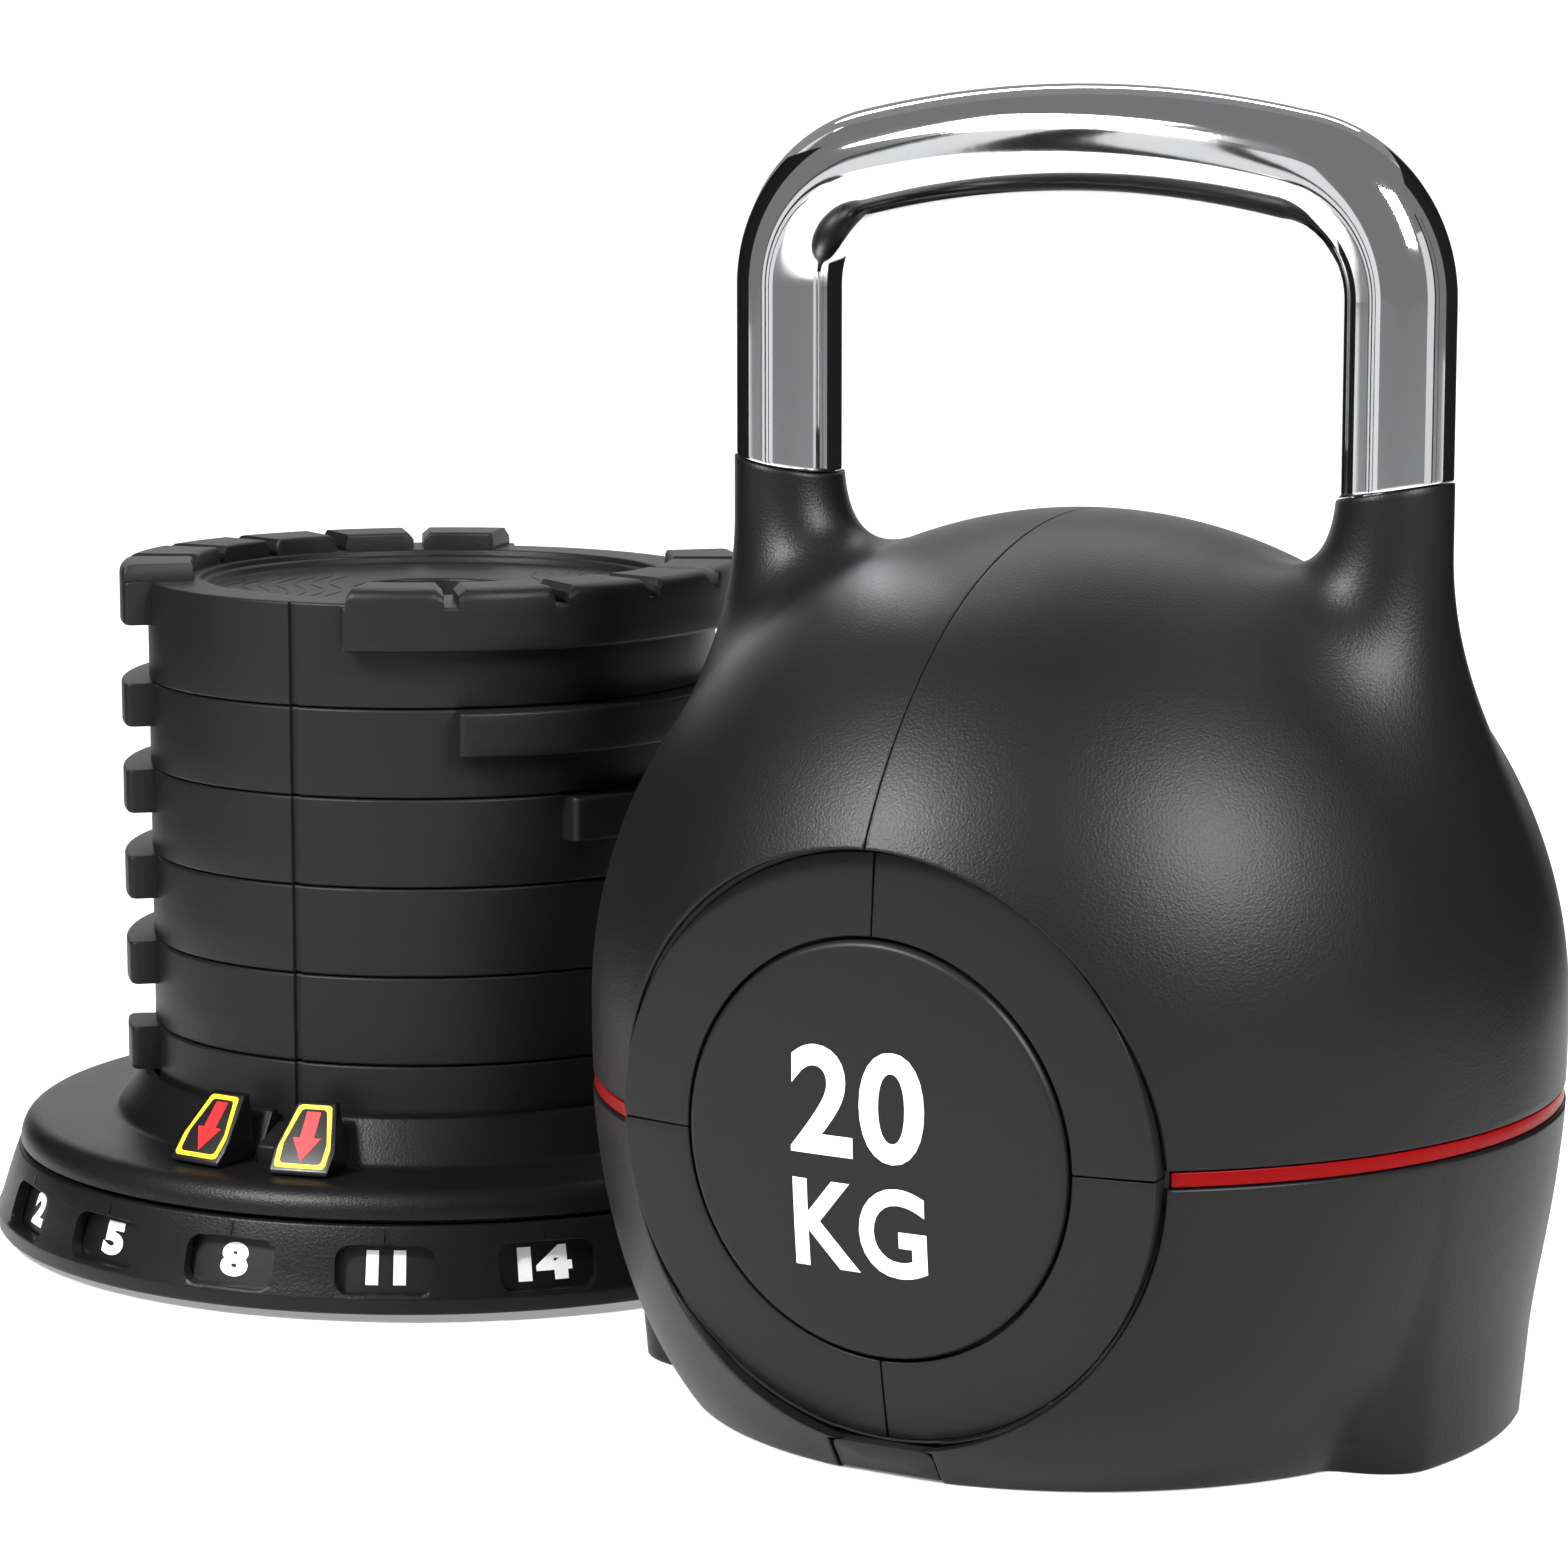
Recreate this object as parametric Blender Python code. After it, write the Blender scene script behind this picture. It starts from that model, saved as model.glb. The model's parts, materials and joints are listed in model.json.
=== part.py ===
"""Adjustable kettlebell with its six-plate stack and twist-select dock.

Metres, +Z up.  The origin is on the floor under the middle of the dock, and the
plate stack stands on the dock's axis.  The kettlebell stands on the same floor in
front and to the right, turned about its own axis.

Angles on the dock and on the kettlebell are measured about their vertical axis,
from their front (-Y), positive towards +X.
"""

import math

import bmesh
import bpy

MM = 0.001

# ---- shared clearances and fineness ------------------------------------------
CLEARANCE = 0.4 * MM            # between pieces that seat on each other
SEAM_GAP = 0.3 * MM             # between neighbouring shell halves
RUNNING_GAP = 1.2 * MM          # between pieces that turn past each other
CUT_MARGIN = 20 * MM            # how far a cutter runs past what it cuts
ROUND_STEPS = 40                # sides of a large round piece
SMALL_STEPS = 16                # sides of a small round piece
ARC_STEP = math.radians(7.5)    # widest step along an arc block

# ---- sizes ---------------------------------------------------------------------
# plates and their stack
PLATE_COUNT = 6
PLATE_RADIUS = 84.4 * MM
PLATE_BORE = 23.3 * MM
PLATE_PITCH = 25.7 * MM
TOP_PLATE_HEIGHT = 30 * MM
PLATE_ROUNDING = 0.8 * MM
LUG_REACH = 8.2 * MM            # how far the lugs stand out of a plate
LUG_RADIUS = PLATE_RADIUS + LUG_REACH
LUG_HEIGHT = 12.8 * MM
LUG_FIRST_START = math.radians(-12.5)
LUG_STEP = math.radians(21)
LUG_END = math.radians(107)
DISH_MARGIN = 15.7 * MM         # the flat round the top plate's dish
DISH_RADIUS = PLATE_RADIUS - DISH_MARGIN
DISH_DEPTH = 4 * MM
CROWN_MARGIN = 12.9 * MM        # how far in from the edge the crown starts
CROWN_INNER = PLATE_RADIUS - CROWN_MARGIN
CROWN_HEIGHT = 5 * MM
CROWN_TEETH = 6
CROWN_SLOT = math.radians(2.6)

# dial ring and turntable
DIAL_MARGIN = 33.4 * MM         # from the lugs out to the dial's top edge
DIAL_TOP_RADIUS = LUG_RADIUS + DIAL_MARGIN
DIAL_SPREAD = 6.5 * MM          # how much wider the dial is at its foot
DIAL_FOOT_RADIUS = DIAL_TOP_RADIUS + DIAL_SPREAD
DIAL_TOP_Z = 26.4 * MM
DIAL_WAIST_Z = 6 * MM
DIAL_FOOT_Z = 2.5 * MM
DIAL_WALL = 3.6 * MM
NUMBER_STEP = math.radians(20.3)
FIRST_NUMBER_ANGLE = math.radians(-63.6)
NUMBER_COUNT = 7
WINDOW_WIDTH = 28 * MM
WINDOW_HEIGHT = 13 * MM
WINDOW_CORNER = 4 * MM
WINDOW_Z = 14.5 * MM
BAND_THICKNESS = 1.6 * MM
TURNTABLE_RADIUS = DIAL_TOP_RADIUS - 0.5 * MM
TURNTABLE_LIFT = 1.1 * MM       # over the dial ring
TURNTABLE_UNDER_Z = DIAL_TOP_Z + TURNTABLE_LIFT
TURNTABLE_THICKNESS = 8.3 * MM
TURNTABLE_TOP_Z = TURNTABLE_UNDER_Z + TURNTABLE_THICKNESS
TURNTABLE_EDGE = 6.5 * MM
COLLAR_WALL = 3 * MM
COLLAR_RIM_RADIUS = PLATE_RADIUS + RUNNING_GAP + COLLAR_WALL
COLLAR_FLARE = 5.9 * MM
COLLAR_FOOT_RADIUS = COLLAR_RIM_RADIUS + COLLAR_FLARE

# dock frame
HUB_TOP_Z = TURNTABLE_TOP_Z + RUNNING_GAP
SPIGOT_RADIUS = PLATE_BORE - 1.0 * MM
SPIGOT_HEIGHT = 17 * MM
SPIGOT_TOP_Z = HUB_TOP_Z + SPIGOT_HEIGHT
FLOOR_THICKNESS = 4 * MM
DOCK_FOOT_HEIGHT = 3.7 * MM
DOCK_FOOT_RADIUS = 9 * MM
CENTRE_FOOT_RADIUS = 16 * MM
DOCK_FOOT_INSET = 30.5 * MM     # from the dial's foot in to the feet's axes
DOCK_FOOT_COUNT = 4
BEARING_INNER = COLLAR_FOOT_RADIUS + 4.5 * MM
BEARING_WIDTH = 10 * MM
BEARING_OUTER = BEARING_INNER + BEARING_WIDTH
BEARING_THICKNESS = 4 * MM

# arrow blocks and lock key
MARK_ANGLE = math.radians(-25.6)     # where the kettlebell's pointer goes
BLOCK_OFFSET = math.radians(8.9)     # arrow blocks either side of that place
BLOCK_FOOT_WIDTH = 17.6 * MM
BLOCK_TOP_WIDTH = 11.6 * MM
BLOCK_OUTER = COLLAR_FOOT_RADIUS + 23.5 * MM
BLOCK_TOP_DEPTH = 3.4 * MM
BLOCK_TOE = 1.4 * MM
KEY_WIDTH = 7.6 * MM
KEY_OUTER = COLLAR_FOOT_RADIUS + 3.5 * MM
KEY_DROP = 3.2 * MM             # key's top under the collar's rim
KEY_TRAVEL = 4 * MM

# kettlebell body, built round the stack
BODY_MARGIN = 34.9 * MM         # from the lugs out to the body's widest
BODY_RADIUS = LUG_RADIUS + BODY_MARGIN
STACK_HEIGHT = (PLATE_COUNT - 1) * PLATE_PITCH + TOP_PLATE_HEIGHT + CROWN_HEIGHT + RUNNING_GAP
CENTRE_UNDER_STACK = 59.7 * MM  # body's centre below the docked stack's top
BODY_CENTRE_Z = STACK_HEIGHT - CENTRE_UNDER_STACK
BODY_LOWER_RATIO = 1.4          # lower curve's half height over the centre's
BODY_LOWER_REACH = BODY_LOWER_RATIO * BODY_CENTRE_Z
BODY_LOWER_POWER = 2.5          # 2 is an ellipse, more is fuller
SHELL_WALL = 3.5 * MM
FOOT_REACH = 16.25 * MM         # side feet, out from the body's base
FOOT_HALF_ANGLE = math.radians(16)
FOOT_HEIGHT = 40 * MM
KETTLEBELL_GAP = 3.1 * MM       # between the standing kettlebell and the dock
KETTLEBELL_DIRECTION = math.radians(43.768)
KETTLEBELL_TURN = math.radians(-30.2)

# handle
HANDLE_RADIUS = 14.5 * MM
HANDLE_SPACING = 175 * MM       # between the two leg axes
COLLAR_STAND = 8.5 * MM         # necks' ends over the body's crown
COLLAR_Z = BODY_CENTRE_Z + BODY_RADIUS + COLLAR_STAND
COLLAR_SLOPE = 0.17             # necks end higher on their outer side
HANDLE_RISE = 86 * MM           # from the necks' ends to the bar's centre
HANDLE_TOP_Z = COLLAR_Z + HANDLE_RISE
HANDLE_ARCH_RADIUS = 290 * MM
HANDLE_BEND_RADIUS = 33 * MM
STUB_RADIUS = 11 * MM
NECK_WALL_OVER = 0.2 * MM       # neck is this much wider than the bar
NECK_SINK = 31.2 * MM           # how far the necks' roots go into the body
NECK_FLARE = 46 * MM            # how far the neck's foot spreads into the dome
NECK_FLARE_DEPTH = 24 * MM      # height over which the spread fades out
BRIDGE_LENGTH = HANDLE_SPACING + STUB_RADIUS
BRIDGE_WIDTH = 24 * MM
BRIDGE_THICKNESS = 6 * MM
BRIDGE_ROOM = 1.3 * MM          # under the dome
BOLT_SPACING = HANDLE_SPACING - 9 * MM
BOLT_RADIUS = 4 * MM
BOLT_HEAD_RADIUS = 7.5 * MM
BOLT_HEAD_HEIGHT = 5.5 * MM
BOLT_LENGTH = 24 * MM

# discs, coloured band and pointer
RING_RADIUS = 74.2 * MM
RING_GAP = 1.3 * MM             # round the ring's outer edge
BADGE_RADIUS = 52.6 * MM
BADGE_GAP = 0.9 * MM
BADGE_RISE = 1.2 * MM
FACE_THICKNESS = 4 * MM
FACE_STAND = 1.2 * MM           # disc's front beyond the mean edge of its opening
POINTER_WIDTH = 28.6 * MM
POINTER_TOP_Z = 9 * MM
POINTER_FOOT_Z = 0.5 * MM
POINTER_RECESS = 0.3 * MM
POINTER_DEPTH = 6 * MM
BAND_Z = POINTER_TOP_Z + 2 * CLEARANCE + RING_RADIUS
BAND_HEIGHT = 3.6 * MM
BAND_DEPTH = 3.2 * MM
BAND_RECESS = 0.3 * MM
FACE_CENTRE_Z = BAND_Z

# lifting racks
RACK_ANGLE = math.radians(40)
RACK_HALF_ANGLE = math.radians(6)
RACK_INNER = LUG_RADIUS + 1.6 * MM
RACK_THICKNESS = 3 * MM
RACK_OUTER = RACK_INNER + RACK_THICKNESS
RACK_FOOT_Z = 4 * MM
HOOK_HALF_ANGLE = math.radians(4)
HOOK_REACH = PLATE_RADIUS + 2 * MM
HOOK_THICKNESS = 5 * MM


# ---- scene helpers -----------------------------------------------------------------------

def clear_scene():
    for thing in list(bpy.data.objects):
        bpy.data.objects.remove(thing, do_unlink=True)


def make_material(name, colour, roughness, metallic):
    """A plain Principled material with a colour in linear RGB."""
    material = bpy.data.materials.new(name)
    material.use_nodes = True
    shader = material.node_tree.nodes["Principled BSDF"]
    shader.inputs["Base Color"].default_value = (*colour, 1.0)
    shader.inputs["Roughness"].default_value = roughness
    shader.inputs["Metallic"].default_value = metallic
    material.diffuse_color = (*colour, 1.0)
    return material


def face_outward(mesh):
    work = bmesh.new()
    work.from_mesh(mesh)
    bmesh.ops.recalc_face_normals(work, faces=work.faces)
    work.to_mesh(mesh)
    work.free()


def add_object(name, shape, material, parent=None, smooth=True):
    """A named object from (points, faces), with its faces turned outward."""
    points, faces = shape
    mesh = bpy.data.meshes.new(name)
    mesh.from_pydata(points, [], faces)
    face_outward(mesh)
    if smooth:
        mesh.shade_smooth()
    thing = bpy.data.objects.new(name, mesh)
    bpy.context.scene.collection.objects.link(thing)
    thing.parent = parent
    if material:
        mesh.materials.append(material)
    return thing


def add_cutter(name, shape, parent=None):
    """An operand for a Boolean: it is never rendered."""
    cutter = add_object(name, shape, None, parent, smooth=False)
    cutter.hide_render = True
    cutter.display_type = "WIRE"
    return cutter


def combine(target, operation, operand):
    """Add one exact Boolean to target."""
    modifier = target.modifiers.new(operand.name, "BOOLEAN")
    modifier.operation = operation
    modifier.solver = "EXACT"
    modifier.object = operand
    return modifier


def add_empty(name, place, turn=0.0, parent=None):
    empty = bpy.data.objects.new(name, None)
    bpy.context.scene.collection.objects.link(empty)
    empty.location = place
    empty.rotation_euler = (0.0, 0.0, turn)
    empty.parent = parent
    return empty


# ---- shapes: each returns (points, faces) --------------------------------------------------

def round_place(radius, angle, z):
    """A point at an angle about Z, from -Y towards +X."""
    return (radius * math.sin(angle), -radius * math.cos(angle), z)


def merge(shapes):
    """Several separate shapes as one list of points and faces."""
    points = []
    faces = []
    for some_points, some_faces in shapes:
        first = len(points)
        points.extend(some_points)
        faces.extend([tuple(first + i for i in face) for face in some_faces])
    return points, faces


def revolve(profile, steps=ROUND_STEPS, phase=0.5):
    """Turn a closed outline of (radius, z) about Z; it runs counter-clockwise
    with radius to the right and z up, and may touch the axis."""
    points = []
    rows = []
    for radius, z in profile:
        count = 1 if radius == 0 else steps
        rows.append([len(points) + i for i in range(count)])
        for i in range(count):
            angle = 2 * math.pi * (i + phase) / steps
            points.append(round_place(radius, angle, z))
    faces = []
    for row, following in zip(rows, rows[1:] + rows[:1]):
        for i in range(steps):
            corners = [row[i % len(row)], row[(i + 1) % len(row)],
                       following[(i + 1) % len(following)], following[i % len(following)]]
            face = tuple(dict.fromkeys(corners))
            if len(face) > 2:
                faces.append(face)
    return points, faces


def cylinder(radius, low, high, steps=SMALL_STEPS):
    return revolve([(0, low), (radius, low), (radius, high), (0, high)], steps)


def arc_block(inner, outer, low, high, start, end):
    """A block bent round Z between two angles."""
    count = max(2, math.ceil((end - start) / ARC_STEP) + 1)
    points = []
    for i in range(count):
        angle = start + (end - start) * i / (count - 1)
        for radius, z in ((inner, low), (outer, low), (outer, high), (inner, high)):
            points.append(round_place(radius, angle, z))
    faces = [(3, 2, 1, 0)]
    for i in range(count - 1):
        for side in range(4):
            here = 4 * i + side
            beside = 4 * i + (side + 1) % 4
            faces.append((here, beside, beside + 4, here + 4))
    last = 4 * (count - 1)
    faces.append((last, last + 1, last + 2, last + 3))
    return points, faces


def box(low, high):
    """A box between two corners."""
    points = [(x, y, z) for x in (low[0], high[0])
              for y in (low[1], high[1]) for z in (low[2], high[2])]
    faces = [(0, 1, 3, 2), (4, 6, 7, 5), (0, 4, 5, 1), (2, 3, 7, 6), (0, 2, 6, 4), (1, 5, 7, 3)]
    return points, faces


def moved(shape, offset):
    points, faces = shape
    return [tuple(a + b for a, b in zip(point, offset)) for point in points], faces


def turned(shape, angle):
    """A shape turned about Z by an angle that is positive from -Y towards +X."""
    points, faces = shape
    cosine = math.cos(angle)
    sine = math.sin(angle)
    return [(x * cosine - y * sine, x * sine + y * cosine, z) for x, y, z in points], faces


def tipped(shape, angle, pivot):
    """A shape turned about the X direction through a point (y, z)."""
    points, faces = shape
    cosine = math.cos(angle)
    sine = math.sin(angle)
    result = []
    for x, y, z in points:
        depth = y - pivot[0]
        rise = z - pivot[1]
        result.append((x, pivot[0] + depth * cosine - rise * sine,
                       pivot[1] + depth * sine + rise * cosine))
    return result, faces


def skin_rings(rings):
    """Join equal rings of points into a closed tube with flat ends."""
    size = len(rings[0])
    points = [point for ring in rings for point in ring]
    faces = [tuple(range(size))[::-1]]
    for k in range(len(rings) - 1):
        for i in range(size):
            here = k * size + i
            beside = k * size + (i + 1) % size
            faces.append((here, beside, beside + size, here + size))
    last = (len(rings) - 1) * size
    faces.append(tuple(range(last, last + size)))
    return points, faces


# ---- the kettlebell's own curves ------------------------------------------------------------

def body_radius(z):
    """Outer radius of the body: a ball above its centre, fuller below it."""
    rise = z - BODY_CENTRE_Z
    if rise >= 0:
        return math.sqrt(max(BODY_RADIUS ** 2 - rise ** 2, 0.0))
    share = (-rise / BODY_LOWER_REACH) ** BODY_LOWER_POWER
    return BODY_RADIUS * (1 - share) ** (1 / BODY_LOWER_POWER)


def body_profile(inset, base_z):
    """Outline of the body drawn in by inset, with a flat base at base_z."""
    lower_heights = [base_z]
    for share in (0.04, 0.09, 0.17, 0.28, 0.42, 0.58, 0.8):
        lower_heights.append(BODY_CENTRE_Z * share)
    outline = [(0, base_z)]
    outline += [(body_radius(max(z, 0)) - inset, z) for z in lower_heights]
    dome_rows = 9
    for k in range(dome_rows):
        angle = math.pi / 2 * k / dome_rows
        radius = BODY_RADIUS - inset
        outline.append((radius * math.cos(angle), BODY_CENTRE_Z + radius * math.sin(angle)))
    outline.append((0, BODY_CENTRE_Z + BODY_RADIUS - inset))
    return outline


def collar_plane(outward):
    """Height of the neck's sloping end at a distance outward of the leg's axis."""
    return COLLAR_Z + COLLAR_SLOPE * outward


def neck_root():
    """Height of the neck's lower end, well under the dome's surface there."""
    outer = HANDLE_SPACING / 2 + HANDLE_RADIUS + NECK_WALL_OVER
    return BODY_CENTRE_Z + math.sqrt(BODY_RADIUS ** 2 - outer ** 2) - NECK_SINK


def stub_end():
    """Height of the bar's ends: the bridge below them just fits under the dome."""
    corner = math.hypot(BRIDGE_LENGTH, BRIDGE_WIDTH) / 2
    inside = math.sqrt((BODY_RADIUS - SHELL_WALL) ** 2 - corner ** 2)
    return BODY_CENTRE_Z + inside - BRIDGE_ROOM


def neck(side):
    """One neck: round at its top, spreading inward into the dome lower down."""
    rows = 9
    root = neck_root()
    rings = []
    for k in range(rows + 1):
        share = k / rows
        ring = []
        for i in range(SMALL_STEPS):
            angle = 2 * math.pi * (i + 0.5) / SMALL_STEPS
            drop = (COLLAR_Z - root) * (1 - share)
            spread = NECK_FLARE * (1 - math.exp(-(drop / NECK_FLARE_DEPTH / 1.7) ** 2.4))
            inward = (1 - math.cos(angle)) / 2
            radius = HANDLE_RADIUS + NECK_WALL_OVER + spread * inward
            outward = radius * math.cos(angle)
            z = root + (COLLAR_Z - root) * share + COLLAR_SLOPE * outward * share ** 4
            ring.append((side * (HANDLE_SPACING / 2 + outward), side * radius * math.sin(angle), z))
        rings.append(ring)
    return skin_rings(rings)


def handle_path():
    """Centre line of half the bar, from mid span to the top of the straight leg,
    as (x, z, direction angle): a wide arch, then a tighter bend."""
    arch_centre_z = HANDLE_TOP_Z - HANDLE_ARCH_RADIUS
    leg_x = HANDLE_SPACING / 2
    reach = leg_x - HANDLE_BEND_RADIUS
    span = math.asin(reach / (HANDLE_ARCH_RADIUS - HANDLE_BEND_RADIUS))
    bend_x = reach
    bend_z = arch_centre_z + (HANDLE_ARCH_RADIUS - HANDLE_BEND_RADIUS) * math.cos(span)
    path = []
    arch_rows = 6
    for k in range(arch_rows):
        angle = span * k / arch_rows
        path.append((HANDLE_ARCH_RADIUS * math.sin(angle),
                     arch_centre_z + HANDLE_ARCH_RADIUS * math.cos(angle), angle))
    bend_rows = 8
    for k in range(bend_rows + 1):
        angle = span + (math.pi / 2 - span) * k / bend_rows
        path.append((bend_x + HANDLE_BEND_RADIUS * math.sin(angle),
                     bend_z + HANDLE_BEND_RADIUS * math.cos(angle), angle))
    return path


def bar_ring(side, x, z, angle, radius, slope=0.0):
    """One ring of the bar; side is +1 or -1, angle is measured from mid span.
    Points are numbered alike on both sides, so the rings join across."""
    ring = []
    for i in range(SMALL_STEPS):
        around = 2 * math.pi * i / SMALL_STEPS
        out = radius * math.cos(around)
        across = radius * math.sin(around)
        ring.append((side * (x + out * math.sin(angle)),
                     across, z + out * math.cos(angle) + slope * out))
    return ring


def handle_shape():
    """The bent bar with a stepped stub at each end that goes down the neck."""
    leg_x = HANDLE_SPACING / 2
    upright = math.pi / 2
    seat_z = COLLAR_Z + CLEARANCE
    half = [bar_ring(1, x, z, angle, HANDLE_RADIUS) for x, z, angle in handle_path()]
    half.append(bar_ring(1, leg_x, seat_z + HANDLE_RADIUS, upright, HANDLE_RADIUS))
    half.append(bar_ring(1, leg_x, seat_z, upright, HANDLE_RADIUS, COLLAR_SLOPE))
    half.append(bar_ring(1, leg_x, seat_z, upright, STUB_RADIUS, COLLAR_SLOPE))
    half.append(bar_ring(1, leg_x, stub_end(), upright, STUB_RADIUS))
    other = [[(-x, y, z) for x, y, z in ring] for ring in half[:0:-1]]
    return skin_rings(other + half)


def face_plane():
    """Distance from the axis and tilt of the discs' plane: both follow the body's
    surface at the top, the bottom and the sides of the opening."""
    opening = RING_RADIUS + RING_GAP
    top = body_radius(FACE_CENTRE_Z + opening)
    bottom = body_radius(FACE_CENTRE_Z - opening)
    side = math.sqrt(body_radius(FACE_CENTRE_Z) ** 2 - opening ** 2)
    distance = (top + bottom + 2 * side) / 4 + FACE_STAND
    return distance, math.asin((top - bottom) / (2 * opening))


def face_frame(shape, front):
    """Place a flat piece, drawn round the Y direction with its front face at
    y = 0, on the kettlebell's front or rear face."""
    distance, tilt = face_plane()
    points, faces = shape
    placed = [(x, y - distance, z + FACE_CENTRE_Z) for x, y, z in points]
    shape = tipped((placed, faces), tilt, (-distance, FACE_CENTRE_Z))
    return shape if front else turned(shape, math.pi)


def facing_front(shape):
    """Lay a piece built up Z so that its top faces -Y."""
    points, faces = shape
    return [(x, -z, y) for x, y, z in points], faces


# ---- kettlebell pieces -------------------------------------------------------------------------

def shell_cutters(hub):
    """Everything that the four shells are cut by, shared between them."""
    cavity = add_cutter("shell_cavity", revolve(body_profile(SHELL_WALL, -CUT_MARGIN)), hub)
    leg_x = HANDLE_SPACING / 2
    bore = cylinder(STUB_RADIUS + CLEARANCE, stub_end() - BRIDGE_THICKNESS,
                    COLLAR_Z + CUT_MARGIN)
    bores = add_cutter("neck_bores",
                       merge([moved(bore, (side * leg_x, 0, 0)) for side in (1, -1)]), hub)
    distance, _ = face_plane()
    hole = facing_front(cylinder(RING_RADIUS + RING_GAP, -2 * CUT_MARGIN,
                                 BODY_RADIUS - distance + CUT_MARGIN, ROUND_STEPS))
    openings = add_cutter("face_openings",
                          merge([face_frame(hole, front) for front in (True, False)]), hub)
    half_width = POINTER_WIDTH / 2 + CLEARANCE
    notch = add_cutter("pointer_notch",
                       box((-half_width, -BODY_RADIUS, -CUT_MARGIN),
                           (half_width, -distance + CUT_MARGIN,
                            POINTER_TOP_Z + CLEARANCE)), hub)
    return cavity, bores, openings, notch


def make_shells(hub, material):
    """The four moulded shells: upper and lower, left and right."""
    cavity, bores, openings, notch = shell_cutters(hub)
    necks = add_cutter("necks", merge([neck(side) for side in (1, -1)]), hub)
    base = body_radius(0)
    foot = arc_block(base - SHELL_WALL / 2, base + FOOT_REACH, 0, FOOT_HEIGHT,
                     math.pi / 2 - FOOT_HALF_ANGLE, math.pi / 2 + FOOT_HALF_ANGLE)
    feet = add_cutter("side_feet", merge([foot, turned(foot, math.pi)]), hub)
    edge = BAND_HEIGHT / 2 + CLEARANCE
    reach = BODY_RADIUS + CUT_MARGIN
    heights = {"upper": (BAND_Z + edge, COLLAR_Z + CUT_MARGIN),
               "lower": (-CUT_MARGIN, BAND_Z - edge)}
    sides = {"right": (SEAM_GAP / 2, reach), "left": (-reach, -SEAM_GAP / 2)}
    for level, (low, high) in heights.items():
        for side, (near, far) in sides.items():
            shell = add_object(f"shell_{level}_{side}", revolve(body_profile(0, 0)),
                               material, hub)
            combine(shell, "UNION", necks if level == "upper" else feet)
            combine(shell, "DIFFERENCE", cavity)
            if level == "upper":
                combine(shell, "DIFFERENCE", bores)
            combine(shell, "DIFFERENCE", openings)
            if level == "lower":
                combine(shell, "DIFFERENCE", notch)
            quarter = add_cutter(f"quarter_{level}_{side}",
                                 box((near, -reach, low), (far, reach, high)), hub)
            combine(shell, "INTERSECT", quarter)


def make_red_bands(hub, material):
    """The coloured strip between the upper and lower shells."""
    outer = body_radius(BAND_Z) - BAND_RECESS
    opening = math.asin((RING_RADIUS + 2 * RING_GAP) / outer)
    for name, turn in (("right", 0.0), ("left", math.pi)):
        strip = arc_block(outer - BAND_DEPTH, outer, BAND_Z - BAND_HEIGHT / 2,
                          BAND_Z + BAND_HEIGHT / 2, opening, math.pi - opening)
        add_object(f"red_band_{name}", turned(strip, turn), material, hub)


def make_faces(hub, ring_material, badge_material):
    """Front and rear: a ring in four quarters round a raised badge."""
    ring_inner = BADGE_RADIUS + BADGE_GAP
    seam = SEAM_GAP / ring_inner
    for place, front in (("front", True), ("rear", False)):
        for k in range(4):
            start = k * math.pi / 2 + seam / 2
            quarter = arc_block(ring_inner, RING_RADIUS, -FACE_THICKNESS, 0,
                                start, start + math.pi / 2 - seam)
            add_object(f"{place}_ring_{k + 1}", face_frame(facing_front(quarter), front),
                       ring_material, hub)
        badge = revolve([(0, -FACE_THICKNESS), (BADGE_RADIUS, -FACE_THICKNESS),
                         (BADGE_RADIUS, BADGE_RISE - PLATE_ROUNDING),
                         (BADGE_RADIUS - PLATE_ROUNDING, BADGE_RISE), (0, BADGE_RISE)],
                        ROUND_STEPS)
        add_object(f"{place}_badge", face_frame(facing_front(badge), front),
                   badge_material, hub)


def make_pointer(hub, material):
    """The tab under the front ring that enters the dock's notch."""
    half = POINTER_WIDTH / 2
    outer = body_radius(POINTER_TOP_Z / 2) - POINTER_RECESS
    tab = box((-half, -outer, POINTER_FOOT_Z), (half, -outer + POINTER_DEPTH, POINTER_TOP_Z))
    add_object("front_pointer", tab, material, hub, smooth=False)


def make_handle(hub, chrome, steel):
    """Bent bar, the bridge plate that ties its legs together, and two bolts."""
    handle = add_object("handle", handle_shape(), chrome, hub)
    bridge_top = stub_end() - CLEARANCE
    bridge_low = bridge_top - BRIDGE_THICKNESS
    hole = cylinder(BOLT_RADIUS + CLEARANCE, bridge_low - CUT_MARGIN,
                    bridge_low + BOLT_LENGTH + CLEARANCE)
    places = [(side * BOLT_SPACING / 2, 0, 0) for side in (1, -1)]
    holes = add_cutter("bolt_holes", merge([moved(hole, place) for place in places]), hub)
    combine(handle, "DIFFERENCE", holes)
    bridge = add_object("handle_bridge",
                        box((-BRIDGE_LENGTH / 2, -BRIDGE_WIDTH / 2, bridge_low),
                            (BRIDGE_LENGTH / 2, BRIDGE_WIDTH / 2, bridge_top)),
                        steel, hub, smooth=False)
    combine(bridge, "DIFFERENCE", holes)
    head_top = bridge_low - CLEARANCE
    bolt = revolve([(0, head_top - BOLT_HEAD_HEIGHT), (BOLT_HEAD_RADIUS, head_top - BOLT_HEAD_HEIGHT),
                    (BOLT_HEAD_RADIUS, head_top), (BOLT_RADIUS, head_top),
                    (BOLT_RADIUS, bridge_low + BOLT_LENGTH), (0, bridge_low + BOLT_LENGTH)],
                   SMALL_STEPS)
    for name, place in zip(("right", "left"), places):
        add_object(f"handle_bolt_{name}", moved(bolt, place), steel, hub)


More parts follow.
